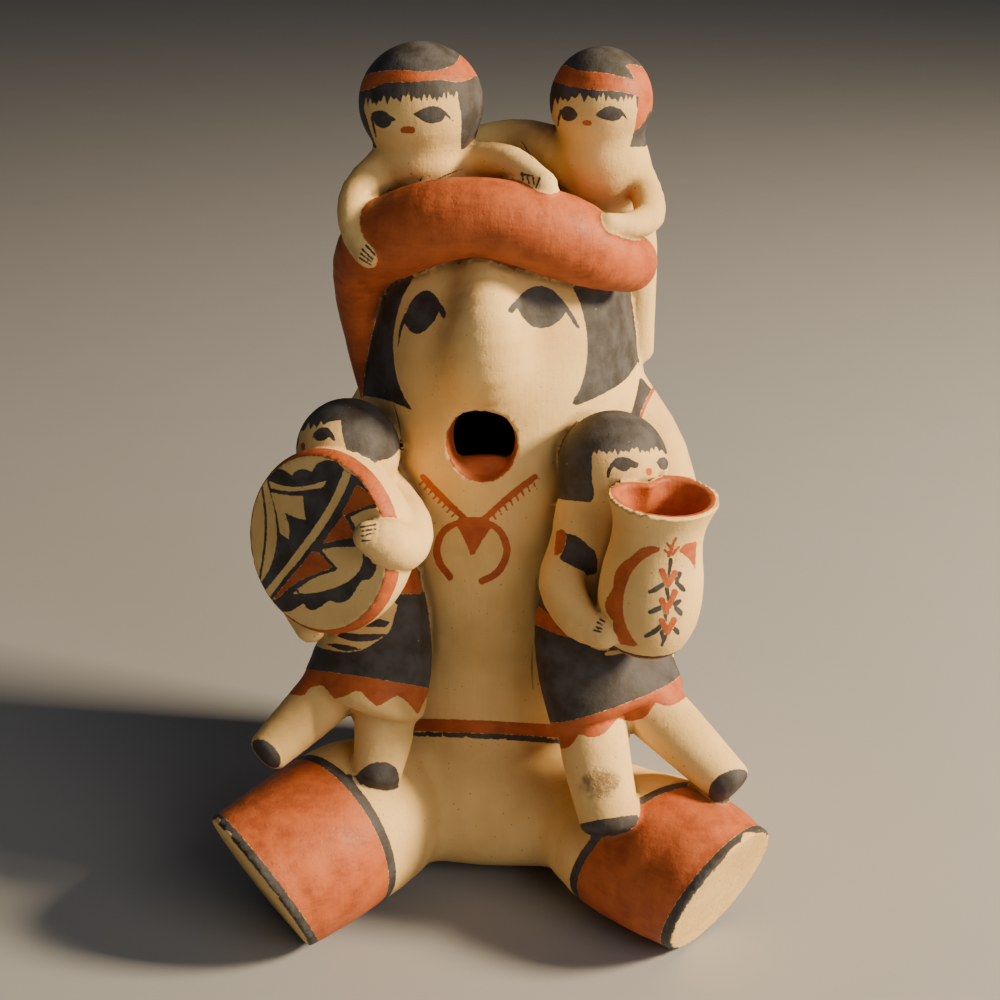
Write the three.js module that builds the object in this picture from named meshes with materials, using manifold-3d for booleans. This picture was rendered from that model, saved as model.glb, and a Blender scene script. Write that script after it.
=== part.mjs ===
// A seated singer holding four children, coiled and fired as one hollow clay figure.
// Millimetres, +Z up. The figure faces -Y and its seat lies on the floor at the origin.
import * as THREE from 'three';
import { mergeVertices } from 'three/addons/utils/BufferGeometryUtils.js';
import Module from 'manifold-3d';

const wasm = await Module();
wasm.setup();

// Overall height, from the floor to the crown of the highest child
const HEIGHT = 250;

// Clay thickness of the hollow body and of the jar
const BODY_WALL = 7;
const JAR_WALL = 3;
const JAR_FLOOR = 6;

// The open mouth
const MOUTH_WIDTH = 19;
const MOUTH_TALL = 22;

// The drum's depth and the rise of its painted face
const DRUM_DEPTH = 24;
const DRUM_RISE = 2;

// Facets round a form and along it
const BODY_SIDES = 24;
const LEG_SIDES = 18;
const ROLL_SIDES = 12;
const TORSO_SIDES = 14;
const LIMB_SIDES = 8;
const HEAD_SIDES = 16;
const HEAD_BANDS = 10;
const VESSEL_SIDES = 18;
const LEG_STEPS = 6;
const ROLL_STEPS = 12;
const TORSO_STEPS = 4;
const LIMB_STEPS = 4;

// Points closer than this are one point
const WELD = 1e-4;

// Every place, path and profile below is written for a figure this tall and follows the height above
const POSE_HEIGHT = 250;
const SCALE = HEIGHT / POSE_HEIGHT;

// Compass directions of the children and their things, degrees round from the front
const LEFT_CHILD_FACING = -54;
const RIGHT_CHILD_FACING = 48;

// The crown of the singer's own head, and how much it rises above the last loop
const BODY_TOP = 214.5;
const CROWN_RISE = 2;

// Where the mouth opens, and how many clay thicknesses deep it is cut
const MOUTH_AT = [0, -43.5, 143.4];
const MOUTH_WALLS = 2;

// The singer's body and head: height, then middle in y, half width and half depth
const BODY_PROFILE = [
  { z: 0, y: -1, wide: 35, deep: 36 },
  { z: 7, y: -1, wide: 37.5, deep: 39.5 },
  { z: 30, y: -1, wide: 37.5, deep: 40 },
  { z: 60, y: -1, wide: 37, deep: 40 },
  { z: 90, y: -1, wide: 38, deep: 40.5 },
  { z: 120, y: -1.5, wide: 40.5, deep: 42 },
  { z: 142, y: -2, wide: 42, deep: 43.5 },
  { z: 158, y: -2, wide: 41.4, deep: 42.5 },
  { z: 174, y: -1.5, wide: 39.2, deep: 40.5 },
  { z: 188, y: -1, wide: 36.5, deep: 37 },
  { z: 199, y: 0, wide: 32.5, deep: 32 },
  { z: 207, y: 1, wide: 25, deep: 24.5 },
  { z: 212.5, y: 2, wide: 13, deep: 12.5 },
];

// Rounded forms along a path: x, y, z and radius at each point
const NOSE = [
  [0, -33, 199, 3.5],
  [0.5, -37.5, 188, 6.5],
  [1.5, -43.5, 177, 10],
  [1, -43, 168, 11],
  [0, -38, 158, 9],
];
const LAP = [
  [-24, -37, 22, 18.5],
  [0, -36, 22, 20],
  [24, -37, 22, 18.5],
];
const LEFT_LEG = [
  [-12, -20, 22, 18],
  [-26, -42, 22.5, 19],
  [-38, -58, 25.5, 24.5],
  [-49.2, -72, 23.6, 23.6, 25.4],
  [-65.3, -89.1, 19, 22.5],
];
const RIGHT_LEG = [
  [12, -20, 22, 18],
  [30, -38, 22, 18.5],
  [46, -54, 21.5, 21, 24.5],
  [58, -65, 23.5, 23.6],
  [81, -82, 20.6, 19.2],
];
const LEFT_SOLE = { at: [-61.5, -84.4, 21.7], turn: -50.7, tilt: 25 };
const RIGHT_SOLE = { at: [72.2, -75.8, 21.6], turn: 53, tilt: 20 };
const LEFT_ARM = [
  [-30.5, 2, 144, 10],
  [-44, 0, 122, 11],
  [-47, -10, 98, 10],
  [-44, -27, 74, 8.5],
  [-46, -38, 60, 8],
];
const RIGHT_ARM = [
  [34.4, 2, 146, 10.5],
  [47.6, 1, 124, 11],
  [53.5, -6, 98, 10],
  [48.5, -25, 76, 8.5],
  [47.5, -38, 66, 8],
];
const HEAD_ROLL = [
  [38.8, -22, 190.8, 8.4],
  [31, -30, 195.2, 10],
  [20.5, -35, 200.8, 11.6],
  [10, -38.5, 204.5, 11],
  [-0.5, -39.5, 206.5, 10.6],
  [-11.5, -38.5, 205, 11.2],
  [-23, -35, 200.5, 11.6],
  [-32.5, -30, 193.5, 10],
  [-37.3, -25.5, 183, 7],
  [-38.2, -21.5, 169, 4.8],
  [-37.7, -19, 157, 3.5],
  [-36.5, -18, 148.5, 2.9],
];

// The child at the singer's right side, who beats the drum
const LEFT_CHILD_TORSO = [
  [-37, -43, 132, 12.5, 11],
  [-34.5, -41, 122, 13.8, 11.5],
  [-34, -41, 106, 14, 12.5],
  [-32.4, -42, 90, 18, 14.5],
  [-32, -45, 77, 19.6, 16],
  [-34.6, -49, 66.5, 22.6, 17],
];
const LEFT_CHILD_LIMBS = [
  [
    [-29, -41, 127, 7], [-20.5, -55, 122, 7.6], [-19, -72, 123, 7],
    [-21.5, -78.5, 127, 6.4], [-26, -81, 129.5, 4.2],
  ],
  [[-46, -38, 125, 6.5], [-53.5, -44, 112, 6], [-54.5, -50, 98, 5.4], [-48.5, -57, 89.5, 4.4]],
  [[-42, -50, 69, 9.4], [-50.6, -59.5, 62, 8], [-59.4, -69.5, 55.6, 6.3]],
  [[-29, -50, 67, 9.5], [-27.6, -59, 57, 8.6], [-29, -65, 47, 7.2]],
];
const LEFT_CHILD_HEAD = { at: [-38, -45, 140], wide: 14.7, deep: 14.7, tall: 15 };

// The child at the singer's left side, who holds the jar
const RIGHT_CHILD_TORSO = [
  [34.8, -43, 131, 13.8, 11],
  [33.8, -42, 120, 15, 12],
  [34.5, -41, 106, 15.5, 14],
  [33, -42, 90, 20, 15],
  [35.8, -45, 77.3, 21.8, 16],
  [40, -50, 67.2, 22.4, 17],
];
const RIGHT_CHILD_LIMBS = [
  [[25.5, -49, 114.5, 6], [23.8, -57, 107, 6.4], [29.5, -65.5, 100.5, 5.7], [36.5, -71, 99, 4.2]],
  [[46, -38, 118, 6.5], [54, -42, 109, 6.5], [57, -51, 103, 5.4], [56, -60, 99, 4.2]],
  [[33, -53, 66, 10.5], [34.8, -63, 57, 9.9], [39.4, -72, 41.5, 8.7]],
  [[47, -50, 69, 9.8], [58.5, -56, 60.6, 8.6], [72.8, -63, 49.6, 6.9]],
];
const RIGHT_CHILD_HEAD = { at: [37, -44, 138.5], wide: 15.4, deep: 15, tall: 15.2 };

// The two children lying over the crown, with their legs down the back
const TOP_LEFT_TORSO = [
  [-19, -20, 227, 11.5, 11],
  [-19.5, -21, 220, 12.8, 11.5],
  [-19.5, -14, 216, 13, 11.5],
  [-18, 2, 211, 12.5, 10],
  [-17, 16, 204, 10, 8],
];
const TOP_LEFT_LIMBS = [
  [[-26, -21, 217.5, 7], [-35.7, -29, 210.6, 4.7], [-36, -36, 203.4, 4.3], [-31.2, -42.5, 196.4, 3.5]],
  [[-11, -18, 216.8, 6.8], [-2, -21.5, 218.6, 5.1], [6.8, -28.5, 218.8, 4.7], [16.3, -38, 215.2, 3.7]],
  [[-23, 12, 204, 6.5], [-26, 30, 194, 5.6], [-24.5, 38.5, 174, 5], [-23.5, 41.5, 158, 4.8]],
  [[-12, 14, 204, 6.5], [-10, 33, 196, 5.6], [-8.5, 41.5, 176, 5], [-8, 43.5, 161, 4.8]],
];
const TOP_LEFT_HEAD = { at: [-19.2, -20, 233.5], wide: 17.2, deep: 16.5, tall: 16.5 };
const TOP_RIGHT_TORSO = [
  [30, -14, 227, 10.5, 10],
  [30.5, -13, 220, 12.6, 11.5],
  [31, -8, 214, 13, 12],
  [29, 4, 208, 11.5, 10],
  [28, 15, 202, 10, 8],
];
const TOP_RIGHT_LIMBS = [
  [
    [36, -11, 218, 6.2], [42.8, -16, 210.2, 4.5], [44.2, -24, 204.4, 4.4],
    [39.5, -31.5, 203.4, 3.5], [33.8, -36.5, 205, 2.7],
  ],
  [[22, -11, 217, 7.5], [12, -6, 221, 5.8], [4, -3, 222, 4.8], [-5, -4, 221, 4.2]],
  [[34, 10, 203, 7], [39.8, 5, 195, 6], [41.4, 6, 175, 5.3], [41.6, 8, 155.5, 5]],
  [[22, 15, 203, 6.5], [19, 32, 195, 5.6], [17, 40.5, 176, 5], [16, 42.5, 160, 4.8]],
];
const TOP_RIGHT_HEAD = { at: [30, -14, 234], wide: 14.2, deep: 14, tall: 14.6 };

// The drum and the jar: where they stand and how they lean
const DRUM_FACE_AT = [-42.8, -69.5, 121.8];
const DRUM_TURN = -28;
const DRUM_LIFT = 12;
const JAR_FOOT_AT = [47.4, -62, 91.6];
const JAR_LEAN_SIDE = 4.5;
const JAR_LEAN_FRONT = 3;

// The jar's outside from its foot to its lip: height and radius
const JAR_OUTSIDE = [
  [0, 7],
  [1.5, 10],
  [7, 13],
  [14, 14.3],
  [23, 14],
  [30, 12.8],
  [36, 12.4],
  [41, 13.3],
  [45, 14.8],
  [47, 15.7],
];

// The drum from its back to the rim of its face: depth as a share and radius
const DRUM_OUTSIDE = [
  [1, 12],
  [0.85, 18.5],
  [0.5, 24],
  [0.22, 25.8],
  [0.08, 25.4],
  [0, 24.2],
];

// The lip is pressed in where the child's chin meets it
const LIP_START = 34;
const LIP_PRESS = 7;
const LIP_PRESS_AT = 122;
const LIP_PRESS_SPREAD = 36;

// Where the loops of an end's dome lie, in degrees, and how low the domes of trunks and feet are
const CAP_TURNS = [32, 60];
const TRUNK_DOME = 0.25;
const FOOT_DOME = 0.55;

// A child's limbs begin with its arms
const ARMS = 2;

const CLAY = new THREE.MeshStandardMaterial({ color: 0xcbb48c, roughness: 0.85, metalness: 0 });
const ACROSS = new THREE.Vector3(1, 0, 0);
const BACK = new THREE.Vector3(0, 1, 0);
const UP = new THREE.Vector3(0, 0, 1);
const radians = THREE.MathUtils.degToRad;
const sized = (values) => values.map((value) => value * SCALE);
const place = (point) => new THREE.Vector3(...sized(point));

// The direction that lies so many degrees round from the front, and lifted from the level
function facing(turn, lift = 0) {
  const level = Math.cos(radians(lift));
  const [across, ahead] = [Math.sin(radians(turn)) * level, Math.cos(radians(turn)) * level];
  return new THREE.Vector3(across, -ahead, Math.sin(radians(lift)));
}

// The level direction at right angles to a facing one, on its left
function sideways(turn) {
  return new THREE.Vector3(Math.cos(radians(turn)), Math.sin(radians(turn)), 0);
}

// One loop of a form: an ellipse round a point
function loop(middle, across, through, wide, deep, sides) {
  const points = [];
  for (let side = 0; side < sides; side += 1) {
    const turn = (2 * Math.PI * side) / sides;
    const point = middle.clone();
    point.addScaledVector(across, wide * Math.cos(turn));
    point.addScaledVector(through, deep * Math.sin(turn));
    points.push(point);
  }
  return points;
}

// A closed surface over loops of points, with a point at either end
function skin(loops, first, last) {
  const sides = loops[0].length;
  const points = [first, ...loops.flat(), last];
  const end = points.length - 1;
  const faces = [];
  const at = (row, side) => 1 + row * sides + (side % sides);
  for (let side = 0; side < sides; side += 1) {
    faces.push(0, at(0, side + 1), at(0, side));
    faces.push(end, at(loops.length - 1, side), at(loops.length - 1, side + 1));
    for (let row = 0; row + 1 < loops.length; row += 1) {
      faces.push(at(row, side), at(row, side + 1), at(row + 1, side + 1));
      faces.push(at(row, side), at(row + 1, side + 1), at(row + 1, side));
    }
  }
  const geometry = new THREE.BufferGeometry().setFromPoints(points);
  geometry.setIndex(faces);
  return geometry;
}

// A form along a path of points and radii, its width towards one side and its ends more or less domed
function form(path, side, sides, steps, dome = 1) {
  const middles = new THREE.CatmullRomCurve3(path.map(([x, y, z]) => place([x, y, z])));
  const sizes = new THREE.CatmullRomCurve3(path.map(([, , , wide, deep = wide]) => place([wide, deep, 0])));
  const ring = (share, reach, shrink) => {
    const along = middles.getTangent(share);
    const through = new THREE.Vector3().crossVectors(along, side).normalize();
    const across = new THREE.Vector3().crossVectors(through, along);
    const size = sizes.getPoint(share);
    const middle = middles.getPoint(share).addScaledVector(along, reach * dome * size.y);
    return { middle, points: loop(middle, across, through, size.x * shrink, size.y * shrink, sides) };
  };
  const cap = (share, outward) => CAP_TURNS.map(
    (turn) => ring(share, outward * Math.sin(radians(turn)), Math.cos(radians(turn))).points,
  );
  const loops = cap(0, -1).reverse();
  for (let step = 0; step <= steps; step += 1) {
    loops.push(ring(step / steps, 0, 1).points);
  }
  loops.push(...cap(1, 1));
  return skin(loops, ring(0, -1, 1).middle, ring(1, 1, 1).middle);
}

// The singer's body from level loops, drawn in by a clay thickness where that is given
function body(wall) {
  const [crown, rise] = sized([BODY_TOP, CROWN_RISE]);
  const levels = BODY_PROFILE.map(({ z, y, wide, deep }) => sized([z, y, wide, deep]));
  const kept = levels.filter(([z]) => z >= wall && z <= crown - wall - rise);
  const rows = kept.map(([z, y, wide, deep]) => {
    const middle = new THREE.Vector3(0, y, z);
    return loop(middle, ACROSS, BACK, wide - wall, deep - wall, BODY_SIDES);
  });
  const [lowest, lowestY] = kept[0];
  const [, highestY] = kept[kept.length - 1];
  return skin(rows, new THREE.Vector3(0, lowestY, lowest), new THREE.Vector3(0, highestY, crown - wall));
}

// A ball drawn out to a width, depth and height
function ball({ at, wide, deep, tall }) {
  const geometry = new THREE.SphereGeometry(1, HEAD_SIDES, HEAD_BANDS);
  geometry.rotateX(Math.PI / 2);
  geometry.scale(...sized([wide, deep, tall]));
  geometry.translate(...place(at));
  return geometry;
}

// A turned form, from a profile of heights and radii that starts and ends on the axis
function turned(profile) {
  const rows = profile.map(([z, radius]) => new THREE.Vector2(radius, z));
  const geometry = new THREE.LatheGeometry(rows, VESSEL_SIDES);
  geometry.rotateX(Math.PI / 2);
  return geometry;
}

// Turns a form made upright until it points another way, and moves it
function stand(geometry, direction, at) {
  const turn = new THREE.Quaternion().setFromUnitVectors(UP, direction);
  geometry.applyQuaternion(turn);
  geometry.translate(...place(at));
  return geometry;
}

// The drum: a low domed face over a body that swells and draws in
function drum() {
  const profile = [
    [-DRUM_DEPTH, 0],
    ...DRUM_OUTSIDE.map(([share, radius]) => [-share * DRUM_DEPTH, radius * SCALE]),
    [DRUM_RISE, 0],
  ];
  return stand(turned(profile), facing(DRUM_TURN, DRUM_LIFT), DRUM_FACE_AT);
}

// The jar's profile at its real size
function jarOutside() {
  return JAR_OUTSIDE.map(sized);
}

// Presses one side of the jar's lip inwards
function pressLip(geometry) {
  const [start, deepest] = sized([LIP_START, LIP_PRESS]);
  const [lip] = jarOutside().pop();
  const position = geometry.attributes.position;
  const point = new THREE.Vector3();
  for (let index = 0; index < position.count; index += 1) {
    point.fromBufferAttribute(position, index);
    const rise = THREE.MathUtils.clamp((point.z - start) / (lip - start), 0, 1);
    const away = THREE.MathUtils.radToDeg(Math.atan2(point.y, point.x)) - LIP_PRESS_AT;
    const turn = THREE.MathUtils.euclideanModulo(away + 180, 360) - 180;
    const press = deepest * rise * Math.exp(-((turn / LIP_PRESS_SPREAD) ** 2));
    const radius = Math.hypot(point.x, point.y);
    const share = radius > press ? (radius - press) / radius : 1;
    position.setXY(index, point.x * share, point.y * share);
  }
  return geometry;
}

// Which way the jar's axis points
function jarAxis() {
  const lean = new THREE.Vector3(Math.tan(radians(JAR_LEAN_SIDE)), -Math.tan(radians(JAR_LEAN_FRONT)), 1);
  return lean.normalize();
}

// The jar without its hollow
function jar() {
  const outside = jarOutside();
  const [lip] = outside[outside.length - 1];
  return stand(pressLip(turned([[0, 0], ...outside, [lip, 0]])), jarAxis(), JAR_FOOT_AT);
}

// The space inside the jar, open a little past its lip
function jarHollow() {
  const inside = jarOutside().filter(([z]) => z >= JAR_FLOOR).map(([z, radius]) => [z, radius - JAR_WALL]);
  const [lip, lipRadius] = inside[inside.length - 1];
  const profile = [[JAR_FLOOR, 0], ...inside, [lip + JAR_WALL, lipRadius], [lip + JAR_WALL, 0]];
  return stand(pressLip(turned(profile)), jarAxis(), JAR_FOOT_AT);
}

// A block far larger than the figure, above or in front of a plane
function beyond(at, direction) {
  const size = 4 * HEIGHT;
  const geometry = new THREE.BoxGeometry(size, size, size);
  geometry.translate(0, 0, size / 2);
  return stand(geometry, direction, at);
}

// The passage through the lips into the hollow body
function mouth() {
  const geometry = new THREE.SphereGeometry(1, HEAD_SIDES, HEAD_BANDS);
  geometry.scale(MOUTH_WIDTH / 2, MOUTH_WALLS * BODY_WALL, MOUTH_TALL / 2);
  geometry.translate(...place(MOUTH_AT));
  return geometry;
}

// A closed mesh ready for joining and cutting
function solid(geometry) {
  geometry.deleteAttribute('normal');
  geometry.deleteAttribute('uv');
  const welded = mergeVertices(geometry, WELD);
  const index = Array.from(welded.index.array);
  const faces = [];
  for (let face = 0; face < index.length; face += 3) {
    const [a, b, c] = index.slice(face, face + 3);
    if (a !== b && b !== c && c !== a) {
      faces.push(a, b, c);
    }
  }
  return new wasm.Manifold(new wasm.Mesh({
    numProp: 3,
    vertProperties: new Float32Array(welded.attributes.position.array),
    triVerts: new Uint32Array(faces),
  }));
}

const join = (solids) => solids.reduce((whole, next) => whole.add(next));
const trunk = (path, turn) => solid(form(path, sideways(turn), TORSO_SIDES, TORSO_STEPS, TRUNK_DOME));
const limb = (path, dome = 1) => solid(form(path, ACROSS, LIMB_SIDES, LIMB_STEPS, dome));

// A leg cut off flat at its sole
function leg(path, sole) {
  const whole = solid(form(path, UP, LEG_SIDES, LEG_STEPS));
  return whole.subtract(solid(beyond(sole.at, facing(sole.turn, -sole.tilt))));
}

// The singer alone, still without the hollow
function singer() {
  return join([
    solid(body(0)),
    limb(NOSE),
    solid(form(LAP, UP, LEG_SIDES, LIMB_STEPS)),
    leg(LEFT_LEG, LEFT_SOLE),
    leg(RIGHT_LEG, RIGHT_SOLE),
    limb(LEFT_ARM),
    limb(RIGHT_ARM),
    solid(form(HEAD_ROLL, BACK, ROLL_SIDES, ROLL_STEPS)),
  ]);
}

// A child: head, trunk and limbs, the trunk's width across the way that it faces
function child(head, torso, limbs, turn) {
  const arms = limbs.slice(0, ARMS).map((path) => limb(path));
  const legs = limbs.slice(ARMS).map((path) => limb(path, FOOT_DOME));
  return join([solid(ball(head)), trunk(torso, turn), ...arms, ...legs]);
}

// The whole figure, hollowed through its mouth and cut flat where it rests
function figure() {
  const clay = join([
    singer(),
    child(LEFT_CHILD_HEAD, LEFT_CHILD_TORSO, LEFT_CHILD_LIMBS, LEFT_CHILD_FACING),
    child(RIGHT_CHILD_HEAD, RIGHT_CHILD_TORSO, RIGHT_CHILD_LIMBS, RIGHT_CHILD_FACING),
    child(TOP_LEFT_HEAD, TOP_LEFT_TORSO, TOP_LEFT_LIMBS, 0),
    child(TOP_RIGHT_HEAD, TOP_RIGHT_TORSO, TOP_RIGHT_LIMBS, 0),
    solid(drum()),
    solid(jar()),
  ]);
  const hollow = join([solid(body(BODY_WALL)), solid(mouth()), solid(jarHollow())]);
  const floor = solid(beyond([0, 0, 0], UP.clone().negate()));
  return clay.subtract(hollow).subtract(floor);
}

// The finished clay as a mesh with flat facets
function meshOf(name, clay) {
  const { numProp, vertProperties, triVerts } = clay.getMesh();
  const geometry = new THREE.BufferGeometry();
  geometry.setAttribute('position', new THREE.BufferAttribute(new Float32Array(vertProperties), numProp));
  geometry.setIndex(Array.from(triVerts));
  const mesh = new THREE.Mesh(geometry, CLAY);
  mesh.name = name;
  return mesh;
}

const group = new THREE.Group();
group.add(meshOf('storyteller', figure()));

export default group;
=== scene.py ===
"""The finished look of the storyteller figure: a smooth clay skin with slip painting and wear.

The skin is the zero level of a signed distance in millimetres that joins the forms of the solid.
"""
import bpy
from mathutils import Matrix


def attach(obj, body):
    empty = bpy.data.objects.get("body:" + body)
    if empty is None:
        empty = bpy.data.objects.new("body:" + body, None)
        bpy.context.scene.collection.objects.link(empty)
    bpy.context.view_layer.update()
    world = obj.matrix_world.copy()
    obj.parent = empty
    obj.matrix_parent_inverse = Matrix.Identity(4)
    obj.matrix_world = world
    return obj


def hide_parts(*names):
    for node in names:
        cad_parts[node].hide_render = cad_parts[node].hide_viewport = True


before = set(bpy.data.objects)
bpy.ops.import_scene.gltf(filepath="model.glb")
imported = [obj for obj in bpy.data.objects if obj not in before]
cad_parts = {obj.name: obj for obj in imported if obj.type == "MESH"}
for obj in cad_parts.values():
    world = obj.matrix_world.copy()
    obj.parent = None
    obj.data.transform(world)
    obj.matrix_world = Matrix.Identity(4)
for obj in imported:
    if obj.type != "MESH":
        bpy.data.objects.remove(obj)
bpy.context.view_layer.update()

from concurrent.futures import ThreadPoolExecutor
from dataclasses import dataclass
from functools import cache, partial, reduce
from typing import Callable

import bpy
import numpy as np
from mathutils import Matrix, Vector

MM = 0.001
WORLD_UP = np.array([0.0, 0.0, 1.0])

# The photograph's camera: degrees, millimetres and pixels of a 1000 pixel frame
AZIMUTH = 6.0
ELEVATION = 22.0
DISTANCE = 520.0
FOCAL = 1660.0
TARGET = np.array([0.5, 0.0, 108.5])
FRAME_PIXELS = 1000.0
SENSOR_MM = 36.0

# How rays from the camera walk up to the clay: where they start, how often they step and how far
CLEAR_OF_FIGURE = 130.0
RAY_ROUNDS = 60
RAY_SHARE = 0.8

# Grid and triangle sizes of the skin in millimetres, and how triangles are split and points are settled
GRID = 2.4
FINE_GRID = 1.4
GRID_LOW = np.array([-84.0, -108.0, -4.0])
GRID_HIGH = np.array([94.0, 56.0, 257.0])
FINE_LOW = np.array([28.0, -84.0, 88.0])
FINE_HIGH = np.array([72.0, -46.0, 144.0])
HOLLOW_GRID = 8.0
HOLLOW_NEAR = 1.0
MOUTH_CLEAR = 4.0
BORDER_EDGE = 1.7
FINE_EDGE = 0.5
BORDER_SHARE = 1.3
HIDDEN_TIMES = 1.6
SPLIT_PAST = 1.35
SPLIT_ROUNDS = 4
SLOPE_STEP = 0.12
SETTLE_MOST = 1.2

# The distance that stands for far away, and how the work is shared out
FAR = 30.0
BLOCK = 12000
THREADS = 4

# Steps between two points of a curve: on outlines, limbs, the body's profile and fringes
STEPS = 5
LIMB_STEPS = 3
BODY_STEPS = 8
FRINGE_STEPS = 6

# How high the gaps and the tips of a fringe reach, as shares: the middle, the change and its pace
FRINGE_GAP = (0.75, 0.25, 2.3)
FRINGE_TIP = (0.2, 0.2, 1.7)

# Clay thickness, mouth and drum, as in the solid
BODY_WALL = 7.0
JAR_WALL = 3.0
JAR_FLOOR = 6.0
MOUTH_WIDTH = 19.0
MOUTH_TALL = 22.0
MOUTH_AT = np.array([0.0, -43.5, 143.4])
INNER_LIP_AT = [0.8, -39.0, 131.8]
INNER_LIP_SIZES = [11.5, 3.6, 6.6]
DRUM_DEPTH = 24.0
DRUM_RISE = 2.0
BODY_TOP = 214.5
BODY_BOX = np.array([60.0, 60.0, BODY_TOP + 10])
CROWN_RISE = 2.0
TRUNK_DOME = 0.25
FOOT_DOME = 0.55

# The singer's body and head: height, middle in y, half width and half depth
BODY_LEVELS = np.array([
    [0, -1, 35, 36], [7, -1, 37.5, 39.5], [30, -1, 37.5, 40], [60, -1, 37, 40], [90, -1, 38, 40.5],
    [120, -1.5, 40.5, 42], [142, -2, 42, 43.5], [158, -2, 41.4, 42.5], [174, -1.5, 39.2, 40.5],
    [188, -1, 36.5, 37], [199, 0, 32.5, 32], [207, 1, 25, 24.5], [212.5, 2, 13, 12.5],
])

# Forms along a path: x, y, z and radius at each point, or half width and half depth
NOSE = [
    [0, -33, 199, 3.5], [0.5, -37.5, 188, 6.5], [1.5, -43.5, 177, 10], [1, -43, 168, 11], [0, -38, 158, 9],
]
LAP = [[-24, -37, 22, 18.5], [0, -36, 22, 20], [24, -37, 22, 18.5]]
LEFT_LEG = [
    [-12, -20, 22, 18], [-26, -42, 22.5, 19], [-38, -58, 25.5, 24.5], [-49.2, -72, 23.6, 23.6, 25.4],
    [-65.3, -89.1, 19, 22.5],
]
RIGHT_LEG = [
    [12, -20, 22, 18], [30, -38, 22, 18.5], [46, -54, 21.5, 21, 24.5], [58, -65, 23.5, 23.6],
    [81, -82, 20.6, 19.2],
]
LEFT_SOLE = {"at": [-61.5, -84.4, 21.7], "turn": -50.7, "tilt": 25}
RIGHT_SOLE = {"at": [72.2, -75.8, 21.6], "turn": 53, "tilt": 20}
LEFT_ARM = [
    [-30.5, 2, 144, 10], [-44, 0, 122, 11], [-47, -10, 98, 10], [-44, -27, 74, 8.5], [-46, -38, 60, 8],
]
RIGHT_ARM = [
    [34.4, 2, 146, 10.5], [47.6, 1, 124, 11], [53.5, -6, 98, 10], [48.5, -25, 76, 8.5], [47.5, -38, 66, 8],
]
HEAD_ROLL = [
    [38.8, -22, 190.8, 8.4], [31, -30, 195.2, 10], [20.5, -35, 200.8, 11.6], [10, -38.5, 204.5, 11],
    [-0.5, -39.5, 206.5, 10.6], [-11.5, -38.5, 205, 11.2], [-23, -35, 200.5, 11.6], [-32.5, -30, 193.5, 10],
    [-37.3, -25.5, 183, 7], [-38.2, -21.5, 169, 4.8], [-37.7, -19, 157, 3.5], [-36.5, -18, 148.5, 2.9],
]

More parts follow.
